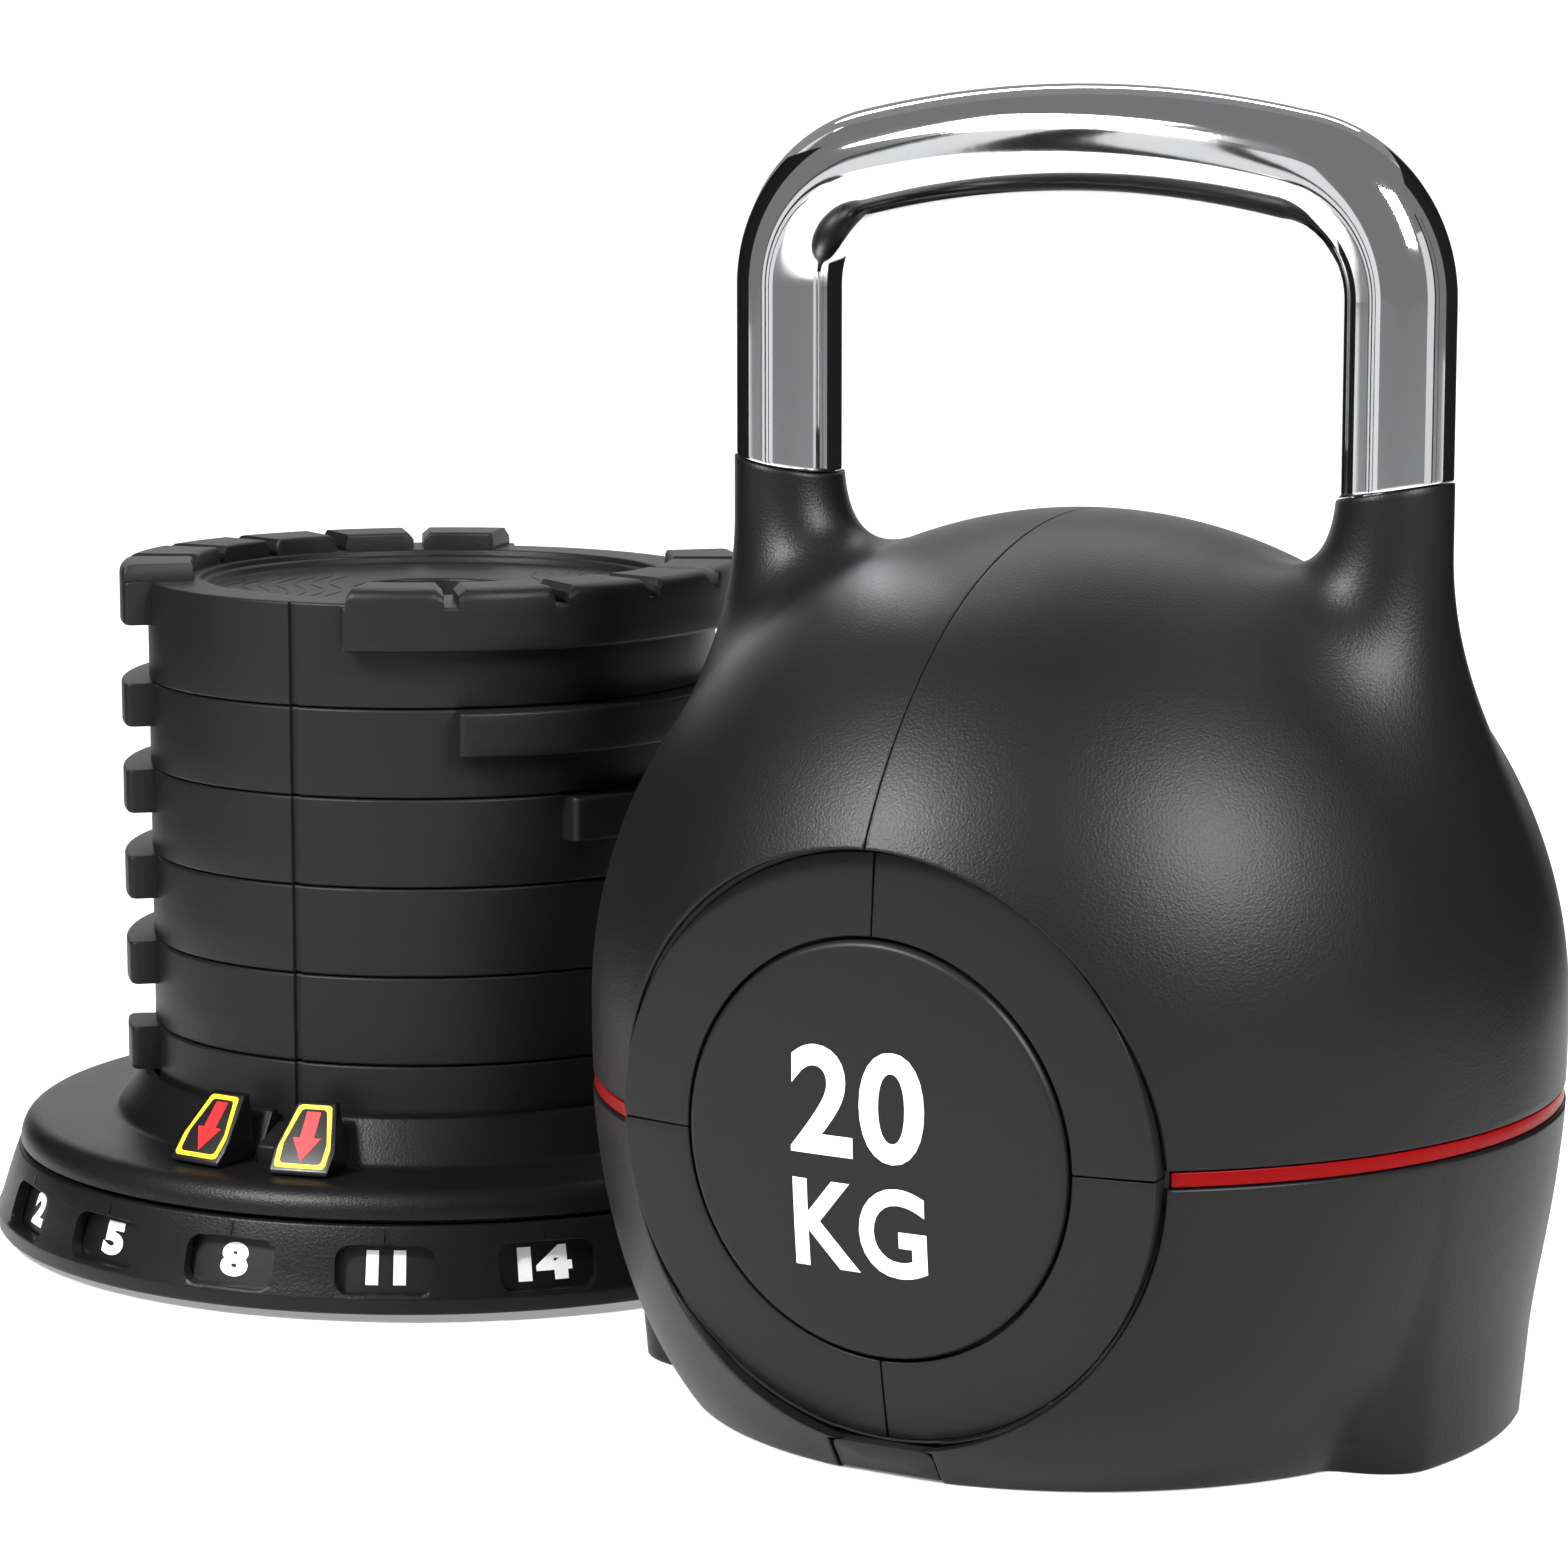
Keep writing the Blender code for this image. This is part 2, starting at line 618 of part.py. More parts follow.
def make_racks(hub, material):
    """Two upright racks inside the shell: one hook goes under each plate's lug."""
    top_z = lug_low(0) - TURNTABLE_TOP_Z
    hooks = []
    for index in range(PLATE_COUNT):
        hook_top = lug_low(index) - CLEARANCE - TURNTABLE_TOP_Z
        hooks.append(arc_block(HOOK_REACH, (RACK_INNER + RACK_OUTER) / 2,
                               hook_top - HOOK_THICKNESS, hook_top,
                               RACK_ANGLE - HOOK_HALF_ANGLE, RACK_ANGLE + HOOK_HALF_ANGLE))
    for name, turn in (("right", 0.0), ("left", math.pi)):
        upright = arc_block(RACK_INNER, RACK_OUTER, RACK_FOOT_Z, top_z + HOOK_THICKNESS,
                            RACK_ANGLE - RACK_HALF_ANGLE, RACK_ANGLE + RACK_HALF_ANGLE)
        rack = add_object(f"lifting_rack_{name}", turned(upright, turn), material, hub,
                          smooth=False)
        combine(rack, "UNION", add_cutter(f"rack_hooks_{name}", turned(merge(hooks), turn), hub))


# ---- plates -----------------------------------------------------------------------------------------

def plate_top(index):
    """Top face of a plate; plate 0 is the highest."""
    top_seam = HUB_TOP_Z + CLEARANCE + (PLATE_COUNT - 1) * PLATE_PITCH
    if index == 0:
        return top_seam + TOP_PLATE_HEIGHT - CLEARANCE
    return top_seam - (index - 1) * PLATE_PITCH - CLEARANCE


def plate_base(index):
    return HUB_TOP_Z + CLEARANCE + (PLATE_COUNT - 1 - index) * PLATE_PITCH


def lug_low(index):
    return plate_top(index) - LUG_HEIGHT


def plate_profile(index):
    """Outline of a plate: the top one has a shallow dish."""
    low = plate_base(index)
    high = plate_top(index)
    edge = PLATE_ROUNDING
    outline = [(PLATE_BORE, low), (PLATE_RADIUS - edge, low), (PLATE_RADIUS, low + edge),
               (PLATE_RADIUS, high - edge), (PLATE_RADIUS - edge, high)]
    if index == 0:
        outline += [(DISH_RADIUS, high), (DISH_RADIUS - edge, high - DISH_DEPTH),
                    (PLATE_BORE, high - DISH_DEPTH)]
    else:
        outline.append((PLATE_BORE, high))
    return outline


def crown_teeth():
    """Raised teeth over the top plate's lugs, parted by radial slots."""
    high = plate_top(0)
    pitch = (LUG_END - LUG_FIRST_START) / CROWN_TEETH
    teeth = []
    for turn in (0.0, math.pi):
        for k in range(CROWN_TEETH):
            start = LUG_FIRST_START + k * pitch + CROWN_SLOT / 2 + turn
            teeth.append(arc_block(CROWN_INNER, LUG_RADIUS - PLATE_ROUNDING,
                                   high - CROWN_HEIGHT, high + CROWN_HEIGHT,
                                   start, start + pitch - CROWN_SLOT))
    return merge(teeth)


def make_plates(material):
    """Six plates; each lower one has shorter lugs, so a longer turn is needed
    before the hooks reach it."""
    for index in range(PLATE_COUNT):
        plate = add_object(f"plate_{index + 1}", revolve(plate_profile(index)), material)
        start = LUG_FIRST_START + index * LUG_STEP
        lugs = [arc_block((PLATE_RADIUS + DISH_RADIUS) / 2, LUG_RADIUS, lug_low(index),
                          plate_top(index) - PLATE_ROUNDING / 2, start + turn, LUG_END + turn)
                for turn in (0.0, math.pi)]
        combine(plate, "UNION", add_cutter(f"lugs_{index + 1}", merge(lugs)))
        if index == 0:
            combine(plate, "UNION", add_cutter("crown_teeth", crown_teeth()))


# ---- dock ------------------------------------------------------------------------------------------------

def number_angle(index):
    return FIRST_NUMBER_ANGLE + index * NUMBER_STEP


def dial_outer_radius(z):
    """Radius of the dial ring's sloping outer wall."""
    share = (DIAL_TOP_Z - z) / (DIAL_TOP_Z - DIAL_WAIST_Z)
    return DIAL_TOP_RADIUS + (DIAL_FOOT_RADIUS - DIAL_TOP_RADIUS) * min(share, 1.0)


def rounded_window():
    """A rounded rectangle of points (across, up) for one window."""
    corner_steps = 4
    outline = []
    for quarter in range(4):
        sx = 1 if quarter in (0, 3) else -1
        sz = 1 if quarter in (0, 1) else -1
        centre = (sx * (WINDOW_WIDTH / 2 - WINDOW_CORNER), sz * (WINDOW_HEIGHT / 2 - WINDOW_CORNER))
        for k in range(corner_steps + 1):
            angle = (quarter + k / corner_steps) * math.pi / 2
            outline.append((centre[0] + WINDOW_CORNER * math.cos(angle),
                            centre[1] + WINDOW_CORNER * math.sin(angle)))
    return outline


def window_cutter():
    """One window's cutter, at the front, cut straight through the wall."""
    rings = []
    for radius in (DIAL_FOOT_RADIUS + CUT_MARGIN, DIAL_TOP_RADIUS - CUT_MARGIN):
        rings.append([(across, -radius, WINDOW_Z + up) for across, up in rounded_window()])
    return skin_rings(rings)


def make_dial(ring_material, band_material):
    """The fixed ring with its number windows, and the band behind them."""
    outer = [(DIAL_TOP_RADIUS, DIAL_TOP_Z), (DIAL_FOOT_RADIUS, DIAL_WAIST_Z),
             (DIAL_FOOT_RADIUS - CLEARANCE, DIAL_FOOT_Z)]
    inner = [(DIAL_FOOT_RADIUS - DIAL_WALL, DIAL_FOOT_Z),
             (DIAL_FOOT_RADIUS - DIAL_WALL, DIAL_WAIST_Z),
             (DIAL_TOP_RADIUS - DIAL_WALL, DIAL_TOP_Z)]
    ring = add_object("dial_ring", revolve((outer + inner)[::-1]), ring_material)
    cutters = [turned(window_cutter(), number_angle(k)) for k in range(NUMBER_COUNT)]
    combine(ring, "DIFFERENCE", add_cutter("number_windows", merge(cutters)))
    gap = DIAL_WALL + CLEARANCE
    low = WINDOW_Z - WINDOW_HEIGHT / 2 - CLEARANCE
    high = WINDOW_Z + WINDOW_HEIGHT / 2 + 2 * CLEARANCE
    low_radius = dial_outer_radius(low) - gap
    high_radius = dial_outer_radius(high) - gap
    band = revolve([(low_radius - BAND_THICKNESS, low), (low_radius, low),
                    (high_radius, high), (high_radius - BAND_THICKNESS, high)])
    add_object("number_band", band, band_material)


def make_dock_frame(body_material, bearing_material, rubber):
    """Tray with its hub and bearing rib, the bearing washer, and the feet."""
    floor_low = DOCK_FOOT_HEIGHT + SEAM_GAP
    floor_top = floor_low + FLOOR_THICKNESS
    bearing_low = TURNTABLE_UNDER_Z - SEAM_GAP - BEARING_THICKNESS
    rib_top = bearing_low - SEAM_GAP
    tray_radius = DIAL_FOOT_RADIUS - DIAL_WALL - CLEARANCE
    band_foot = tray_radius - DIAL_WALL - BAND_THICKNESS
    hub_radius = collar_bore() - RUNNING_GAP
    tray = revolve([(0, floor_low), (tray_radius, floor_low), (tray_radius, DIAL_WAIST_Z),
                    (band_foot, floor_top), (BEARING_OUTER, floor_top), (BEARING_OUTER, rib_top),
                    (BEARING_INNER, rib_top), (BEARING_INNER, floor_top),
                    (hub_radius, floor_top), (hub_radius, HUB_TOP_Z),
                    (SPIGOT_RADIUS, HUB_TOP_Z), (SPIGOT_RADIUS, SPIGOT_TOP_Z), (0, SPIGOT_TOP_Z)])
    add_object("dock_tray", tray, body_material)
    washer = revolve([(BEARING_INNER, bearing_low), (BEARING_OUTER, bearing_low),
                      (BEARING_OUTER, bearing_low + BEARING_THICKNESS),
                      (BEARING_INNER, bearing_low + BEARING_THICKNESS)])
    add_object("turntable_bearing", washer, bearing_material)
    add_object("centre_foot", cylinder(CENTRE_FOOT_RADIUS, 0, DOCK_FOOT_HEIGHT), rubber)
    for k in range(DOCK_FOOT_COUNT):
        angle = (k + 0.5) * 2 * math.pi / DOCK_FOOT_COUNT
        place = round_place(DIAL_FOOT_RADIUS - DOCK_FOOT_INSET, angle, 0)
        add_object(f"dock_foot_{k + 1}",
                   moved(cylinder(DOCK_FOOT_RADIUS, 0, DOCK_FOOT_HEIGHT), place), rubber)


def collar_bore():
    """Inner radius of the turntable's collar, round the plates."""
    return PLATE_RADIUS + RUNNING_GAP


def collar_rim():
    """Height of the collar's rim, which turns just under the lowest lugs."""
    return lug_low(PLATE_COUNT - 1) - RUNNING_GAP


def make_turntable(material):
    """The turning disc with its raised collar, notched for the lock key."""
    bore = collar_bore()
    outline = [(bore, TURNTABLE_UNDER_Z), (TURNTABLE_RADIUS - CLEARANCE, TURNTABLE_UNDER_Z)]
    edge_rows = 5
    edge_height = TURNTABLE_TOP_Z - TURNTABLE_UNDER_Z - CLEARANCE
    for k in range(edge_rows + 1):
        angle = math.pi / 2 * k / edge_rows
        outline.append((TURNTABLE_RADIUS - TURNTABLE_EDGE * (1 - math.cos(angle)),
                        TURNTABLE_UNDER_Z + CLEARANCE + edge_height * math.sin(angle)))
    outline += [(COLLAR_FOOT_RADIUS, TURNTABLE_TOP_Z), (COLLAR_RIM_RADIUS, collar_rim()),
                (bore, collar_rim())]
    table = add_object("turntable", revolve(outline), material)
    half = KEY_WIDTH / 2 + CLEARANCE
    notch = box((-half, -KEY_OUTER - CLEARANCE, TURNTABLE_UNDER_Z - CUT_MARGIN),
                (half, -bore + RUNNING_GAP, collar_rim() + CUT_MARGIN))
    combine(table, "DIFFERENCE", add_cutter("key_notch", turned(notch, MARK_ANGLE)))


def arrow_block():
    """A wedge that leans on the collar, narrower at its top, at the front."""
    foot_z = TURNTABLE_TOP_Z + CLEARANCE
    foot_back = COLLAR_FOOT_RADIUS + CLEARANCE
    top_z = collar_rim()
    slope = (COLLAR_FOOT_RADIUS - COLLAR_RIM_RADIUS) / (top_z - TURNTABLE_TOP_Z)
    top_back = foot_back - slope * (top_z - foot_z)
    foot_half = BLOCK_FOOT_WIDTH / 2
    top_half = BLOCK_TOP_WIDTH / 2
    outline = [(foot_back, foot_z, foot_half), (BLOCK_OUTER, foot_z, foot_half),
               (BLOCK_OUTER, foot_z + BLOCK_TOE, foot_half),
               (top_back + BLOCK_TOP_DEPTH, top_z, top_half),
               (top_back, top_z, top_half)]
    rings = [[(side * half, -radius, z) for radius, z, half in outline] for side in (-1, 1)]
    return skin_rings(rings)


def make_mark(block_material, key_material):
    """Two arrow blocks either side of the notch, and the lock key in it."""
    for name, side in (("left", -1), ("right", 1)):
        block = turned(arrow_block(), MARK_ANGLE + side * BLOCK_OFFSET)
        add_object(f"arrow_block_{name}", block, block_material, smooth=False)
    key = box((-KEY_WIDTH / 2, -KEY_OUTER, TURNTABLE_UNDER_Z + KEY_TRAVEL + CLEARANCE),
              (KEY_WIDTH / 2, -collar_bore() - CLEARANCE, collar_rim() - KEY_DROP))
    add_object("lock_key", turned(key, MARK_ANGLE), key_material, smooth=False)


def main():
    clear_scene()
    textured_black = make_material("textured_black_shell", (0.012, 0.012, 0.013), 0.45, 0.0)
    satin_black = make_material("satin_black_disc", (0.016, 0.016, 0.017), 0.38, 0.0)
    plate_black = make_material("plate_black", (0.013, 0.013, 0.014), 0.5, 0.0)
    band_black = make_material("number_band_black", (0.004, 0.004, 0.004), 0.3, 0.0)
    red = make_material("red_band", (0.35, 0.006, 0.008), 0.35, 0.0)
    chrome = make_material("chrome_bar", (0.78, 0.78, 0.79), 0.06, 1.0)
    steel = make_material("zinc_plated_steel", (0.5, 0.5, 0.5), 0.35, 1.0)
    acetal = make_material("white_acetal", (0.75, 0.75, 0.72), 0.5, 0.0)
    rubber = make_material("black_rubber", (0.02, 0.02, 0.02), 0.8, 0.0)

    distance = DIAL_FOOT_RADIUS + KETTLEBELL_GAP + BODY_RADIUS
    place = round_place(distance, KETTLEBELL_DIRECTION, 0.0)
    hub = add_empty("kettlebell_axis", place, KETTLEBELL_TURN)
    make_shells(hub, textured_black)
    make_red_bands(hub, red)
    make_faces(hub, satin_black, satin_black)
    make_pointer(hub, satin_black)
    make_handle(hub, chrome, steel)
    make_racks(hub, steel)
    make_plates(plate_black)
    make_dial(textured_black, band_black)
    make_dock_frame(textured_black, acetal, rubber)
    make_turntable(textured_black)
    make_mark(band_black, satin_black)


main()
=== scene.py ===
"""Adjustable kettlebell beside its plate stack: the finished surfaces and the studio."""

import json
import math

import bmesh
import bpy
import numpy as np
from bpy.props import FloatProperty, FloatVectorProperty, IntProperty, PointerProperty, StringProperty
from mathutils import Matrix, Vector


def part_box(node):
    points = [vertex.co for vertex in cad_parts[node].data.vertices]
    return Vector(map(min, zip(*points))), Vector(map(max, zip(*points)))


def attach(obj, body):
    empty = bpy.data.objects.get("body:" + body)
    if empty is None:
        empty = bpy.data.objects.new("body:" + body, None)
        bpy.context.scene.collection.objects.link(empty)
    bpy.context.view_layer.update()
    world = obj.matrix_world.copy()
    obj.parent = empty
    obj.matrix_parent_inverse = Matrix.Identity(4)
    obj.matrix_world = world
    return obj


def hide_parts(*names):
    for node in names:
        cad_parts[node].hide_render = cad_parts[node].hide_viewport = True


bl_info = {
    "name": "Adjustable Kettlebell",
    "version": (1, 0, 0),
    "blender": (4, 5, 0),
    "location": "View3D > Sidebar > Kettlebell",
    "description": "Builds the finished surfaces of an adjustable kettlebell on its packed frame",
    "category": "Object",
}

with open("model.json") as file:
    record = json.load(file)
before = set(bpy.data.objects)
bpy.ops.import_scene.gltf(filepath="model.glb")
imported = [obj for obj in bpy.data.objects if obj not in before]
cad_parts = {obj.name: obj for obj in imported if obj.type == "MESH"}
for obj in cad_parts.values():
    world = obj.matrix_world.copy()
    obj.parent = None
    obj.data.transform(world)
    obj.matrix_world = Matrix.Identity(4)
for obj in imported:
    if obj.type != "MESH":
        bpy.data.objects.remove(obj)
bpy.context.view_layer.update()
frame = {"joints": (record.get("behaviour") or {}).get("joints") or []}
MM = 0.001


def box_of(node):
    """Lowest and highest corner of a frame node, as arrays."""
    low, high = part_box(node)
    return np.array(low), np.array(high)


def middle_of(node):
    """Middle of a frame node's box."""
    low, high = box_of(node)
    return (low + high) / 2


def hinge_at(name):
    """Place of a hinge of the frame, as an array."""
    for joint in frame["joints"]:
        if joint["name"] == name:
            return np.array(joint["pos_m"])
    raise KeyError(name)


# ---- where the frame puts things ----

BOLT_LINE = middle_of("handle_bolt_right") - middle_of("handle_bolt_left")
KETTLEBELL_TURN = math.atan2(BOLT_LINE[1], BOLT_LINE[0])
KETTLEBELL_AXIS = (middle_of("handle_bolt_right") + middle_of("handle_bolt_left")) / 2
STACK_AXIS = hinge_at("turntable_turn")
HANDLE_FOOT = box_of("handle")[0][2]


# ---- user settings ----

def length(name, description, default):
    """A property that holds a length in metres."""
    return FloatProperty(name=name, description=description, default=default,
                         subtype="DISTANCE", unit="LENGTH")


def angle(name, description, default):
    """A property that holds an angle in radians."""
    return FloatProperty(name=name, description=description, default=default, subtype="ANGLE")


def srgb(hex_colour):
    """Linear RGB of an sRGB hex value such as #1A1A1B."""
    values = [int(hex_colour[i:i + 2], 16) / 255 for i in (1, 3, 5)]
    return tuple(v / 12.92 if v <= 0.04045 else ((v + 0.055) / 1.055) ** 2.4 for v in values)


def colour(name, description, hex_colour):
    """A property that holds a linear colour, given as an sRGB hex value."""
    return FloatVectorProperty(name=name, description=description, subtype="COLOR", size=3,
                               min=0.0, max=1.0, default=srgb(hex_colour))


class BodySettings(bpy.types.PropertyGroup):
    """Sizes of the kettlebell's body."""
    radius: length("Body radius", "Radius of the round upper body", 127.5 * MM)
    centre: length("Body centre", "Height of the round body's centre", 105 * MM)
    lower_reach: length("Lower reach", "Half height of the fuller curve under the centre", 147 * MM)
    lower_power: FloatProperty(name="Lower fullness", default=2.5,
                               description="Power of the lower curve: 2 is an ellipse, more is fuller")
    wall: length("Shell wall", "Thickness of the moulded shells", 3.5 * MM)
    blend: length("Neck blend", "Width over which necks and dome flow together", 30 * MM)
    neck_radius: length("Neck radius", "Radius of a neck at its upper end", 14.7 * MM)
    collar: length("Collar height", "Height at which the necks end round the bar", 241 * MM)
    collar_slope: FloatProperty(name="Collar slope", default=0.17,
                                description="Rise of a neck's end per unit outward")
    band_depth: length("Band depth", "Thickness of the coloured strip", 2.9 * MM)
    band_recess: length("Band recess", "How far the strip lies under the surface", 0.3 * MM)
    foot_radius: length("Foot radius", "How far the side feet reach at the floor", 117.7 * MM)
    foot_spread: angle("Foot spread", "Half the angle over which a foot keeps its reach", math.radians(15))
    foot_fade: angle("Foot fade", "Angle over which a foot then fades out", math.radians(9))
    notch: length("Pointer notch", "Half width of the notch for the pointer", 14.7 * MM)
    seam: length("Seam", "Half the gap between left and right shells", 0.16 * MM)


class HandleSettings(bpy.types.PropertyGroup):
    """Sizes of the bar."""
    radius: length("Bar radius", "Radius of the round bar", 14.5 * MM)
    spacing: length("Leg spacing", "Distance between the two leg axes", 175 * MM)
    top: length("Bar height", "Height of the bar's centre at mid span", 327 * MM)
    arch: length("Arch radius", "Radius of the arched top", 290 * MM)
    bend: length("Bend radius", "Radius of the bends into the legs", 33 * MM)
    stub: length("Stub radius", "Radius of the thinner ends inside the necks", 11 * MM)
    seam: length("Seam", "Gap between a leg's shoulder and its neck", 0.35 * MM)


class FaceSettings(bpy.types.PropertyGroup):
    """Sizes of the front and rear discs."""
    height: length("Disc height", "Height of the discs' centres", 84 * MM)
    distance: length("Disc distance", "Distance of the disc plane from the axis", 108 * MM)
    tilt: angle("Disc tilt", "How far the discs' tops lean outward", math.radians(2.9))
    dome: length("Dome radius", "Radius of the discs' gentle crown", 450 * MM)
    crown: length("Crown height", "Height of the ring's crown over the plane", 4.0 * MM)
    ring: length("Ring radius", "Outer radius of the ring", 74.2 * MM)
    gap: length("Ring gap", "Gap between the ring and the shell", 1.3 * MM)
    badge: length("Badge radius", "Radius of the middle disc", 52.6 * MM)
    badge_rise: length("Badge rise", "How far the middle disc stands over the ring", 1.1 * MM)
    plate: length("Disc thickness", "Thickness of the ring and badge", 4 * MM)
    skirt: length("Ring skirt", "How far the ring's outer wall goes back", 12 * MM)
    skirt_wall: length("Skirt wall", "Thickness of the ring's outer wall", 1.4 * MM)
    # The dark strip behind each ring's gap, flange included, is painted shade.
    brim: length("Gasket brim", "How far the gasket's flange reaches behind the shell", 4.2 * MM)


class StackSettings(bpy.types.PropertyGroup):
    """Sizes of the plates, from the stack's axis outward."""
    plate: length("Plate radius", "Radius of a plate without its lugs", 84.4 * MM)
    lug: length("Lug radius", "Radius to the outside of the lugs", 92.6 * MM)
    lug_height: length("Lug height", "Height of a lug, under its plate's top", 12.8 * MM)
    bore: length("Bore radius", "Radius of the hole through the plates", 23.3 * MM)
    edge: length("Edge rounding", "Rounding of the plates' edges", 0.8 * MM)
    corner: length("Lug rounding", "Rounding of the lugs' corners", 2.0 * MM)
    first: angle("First lug", "Where the top plate's lug starts", math.radians(-12.5))
    step: angle("Lug step", "How much shorter each lower plate's lug is", math.radians(21))
    end: angle("Lug end", "Where every plate's lug ends", math.radians(107))
    dish: length("Dish radius", "Radius of the top plate's dish", 68.7 * MM)
    dish_depth: length("Dish depth", "Depth of the dish", 4 * MM)
    crown: length("Crown height", "Height of the teeth on the top plate", 5 * MM)
    crown_inner: length("Crown inner radius", "Radius where the teeth begin", 71.5 * MM)
    teeth: IntProperty(name="Teeth", description="Teeth over each lug of the top plate", default=6)
    slot: angle("Tooth slot", "Width of the slots between the teeth", math.radians(2.6))
    groove: angle("Key groove", "Where the upright groove runs", math.radians(-24))
    groove_width: length("Groove width", "Width of the upright groove", 2.6 * MM)


class DialSettings(bpy.types.PropertyGroup):
    """Sizes of the dial ring, its windows and the marks on the turntable."""
    top_radius: length("Dial top radius", "Outer radius at the ring's upper edge", 126 * MM)
    foot_radius: length("Dial foot radius", "Outer radius at the ring's foot", 132.5 * MM)
    top: length("Dial top", "Height of the ring's upper edge", 26.4 * MM)
    waist: length("Dial waist", "Height where the slope ends", 6 * MM)
    wall: length("Dial wall", "Thickness of the ring", 3.6 * MM)
    window_width: length("Window width", "Width of a number window", 28 * MM)
    window_height: length("Window height", "Height of a number window", 13 * MM)
    window_corner: length("Window corner", "Corner rounding of the windows", 4 * MM)
    window_z: length("Window centre", "Height of the windows' centres", 14.5 * MM)
    first: angle("First number", "Where the first window is", math.radians(-63.6))
    step: angle("Number step", "Angle from window to window", math.radians(20.3))
    digits: length("Digit height", "Height of the printed numbers", 9.2 * MM)
    mark: angle("Mark", "Where the kettlebell's pointer goes in", math.radians(-25.6))
    spread: angle("Mark spread", "Arrow blocks' angle either side of the mark", math.radians(8.9))


class TableSettings(bpy.types.PropertyGroup):
    """Sizes of the turntable and of the arrow blocks on it."""
    radius: length("Turntable radius", "Outer radius of the turntable", 125.1 * MM)
    height: length("Turntable height", "Height of its flat top over its foot", 8.3 * MM)
    edge: length("Edge rounding", "Rounding of the turntable's outer edge", 6.5 * MM)
    bore: length("Turntable bore", "Radius of its middle opening", 85.6 * MM)
    collar_rim: length("Collar rim radius", "Outer radius of the collar's rim", 88.9 * MM)
    fillet: length("Collar fillet", "Radius of the fillet at the collar's foot", 3.2 * MM)
    block_foot: length("Block foot", "Half width of an arrow block's foot", 8.8 * MM)
    block_top: length("Block top", "Half width of an arrow block's top", 5.8 * MM)
    block_back: length("Block back", "Distance of a block's back from the axis", 94.9 * MM)
    block_front: length("Block front", "Distance of a block's front from the axis", 111.5 * MM)
    block_rise: length("Block rise", "How far the blocks stand over the collar's rim", 5.5 * MM)
    block_toe: length("Block toe", "Height of a block's upright front edge", 1.4 * MM)
    block_kink: FloatProperty(name="Block kink", default=0.3,
                              description="Share of the slope over which a block keeps its foot width")


class PrintSettings(bpy.types.PropertyGroup):
    """The printed weight marks."""
    weight: StringProperty(name="Weight", description="Upper line on the badge", default="20")
    unit_mark: StringProperty(name="Unit", description="Lower line on the badge", default="KG")
    lightest: IntProperty(name="Lightest", description="First number on the dial", default=2)
    interval: IntProperty(name="Interval", description="Weight of one plate", default=3)
    boldness: FloatProperty(name="Boldness", description="How far strokes are thickened, in em",
                            default=0.032)


class StudioSettings(bpy.types.PropertyGroup):
    """The camera's place, and how strongly the surround and the floor glow."""
    aside: length("Camera aside", "Camera's place left of the kettlebell's axis", 77.1 * MM)
    away: length("Camera away", "Camera's distance in front of the axis", 1.26)
    height: length("Camera height", "Height of the camera", 350.3 * MM)
    pitch: angle("Camera pitch", "How far the camera looks down", math.radians(8.57))
    lens: FloatProperty(name="Lens", description="Focal length over a 36 mm picture", default=112.1)
    surround: FloatProperty(name="Surround", description="Brightness of the even surround", default=0.22)
    glow: FloatProperty(name="Floor glow", description="Glow of the floor behind the object", default=0.62)
    front_glow: FloatProperty(name="Front glow", description="Glow of the floor before it", default=0.08)


class ColourSettings(bpy.types.PropertyGroup):
    """Colours of the mouldings and prints."""
    shell: colour("Shell", "Textured ABS shells", "#0C0C0D")
    disc: colour("Disc", "Satin ABS discs", "#111112")
    plate: colour("Plate", "Textured plate skins", "#101011")
    gloss: colour("Number field", "Smooth black behind the numbers", "#050505")
    red: colour("Band", "Coloured strip", "#720103")
    print_white: colour("White print", "Pad-printed marks", "#F4F4F2")
    label_yellow: colour("Label yellow", "Outline of the arrow labels", "#F2CB1D")
    label_red: colour("Label red", "Arrows of the labels", "#D4161C")


SETTINGS = {
    "kettlebell_body": BodySettings,
    "kettlebell_handle": HandleSettings,
    "kettlebell_face": FaceSettings,
    "kettlebell_stack": StackSettings,
    "kettlebell_dial": DialSettings,
    "kettlebell_table": TableSettings,
    "kettlebell_print": PrintSettings,
    "kettlebell_colour": ColourSettings,
    "kettlebell_studio": StudioSettings,
}


# ---- arrays and meshes ----

def on_kettlebell(points):
    """Turn points about Z by the kettlebell's turn and move them to its axis."""
    points = np.asarray(points, float)
    cosine = math.cos(KETTLEBELL_TURN)
    sine = math.sin(KETTLEBELL_TURN)
    turned = points.copy()
    turned[..., 0] = points[..., 0] * cosine - points[..., 1] * sine + KETTLEBELL_AXIS[0]
    turned[..., 1] = points[..., 0] * sine + points[..., 1] * cosine + KETTLEBELL_AXIS[1]
    return turned


def about_stack(radius, turn, z):
    """Point at an angle about the stack's axis, from -Y towards +X."""
    radius, turn, z = np.broadcast_arrays(radius, turn, z)
    return np.stack([STACK_AXIS[0] + radius * np.sin(turn),
                     STACK_AXIS[1] - radius * np.cos(turn), z], axis=-1)


def grid_quads(rows, columns, wrap_rows=False, wrap_columns=False):
    """Corner numbers of the quads of a grid; a wrapped side joins its ends."""
    i = np.arange(rows if wrap_rows else rows - 1)[:, None]
    j = np.arange(columns if wrap_columns else columns - 1)[None, :]
    below = (i + 1) % rows
    beside = (j + 1) % columns
    corners = [i * columns + j, i * columns + beside, below * columns + beside, below * columns + j]
    return np.stack([np.broadcast_to(c, (i.size, j.size)) for c in corners], axis=-1).reshape(-1, 4)


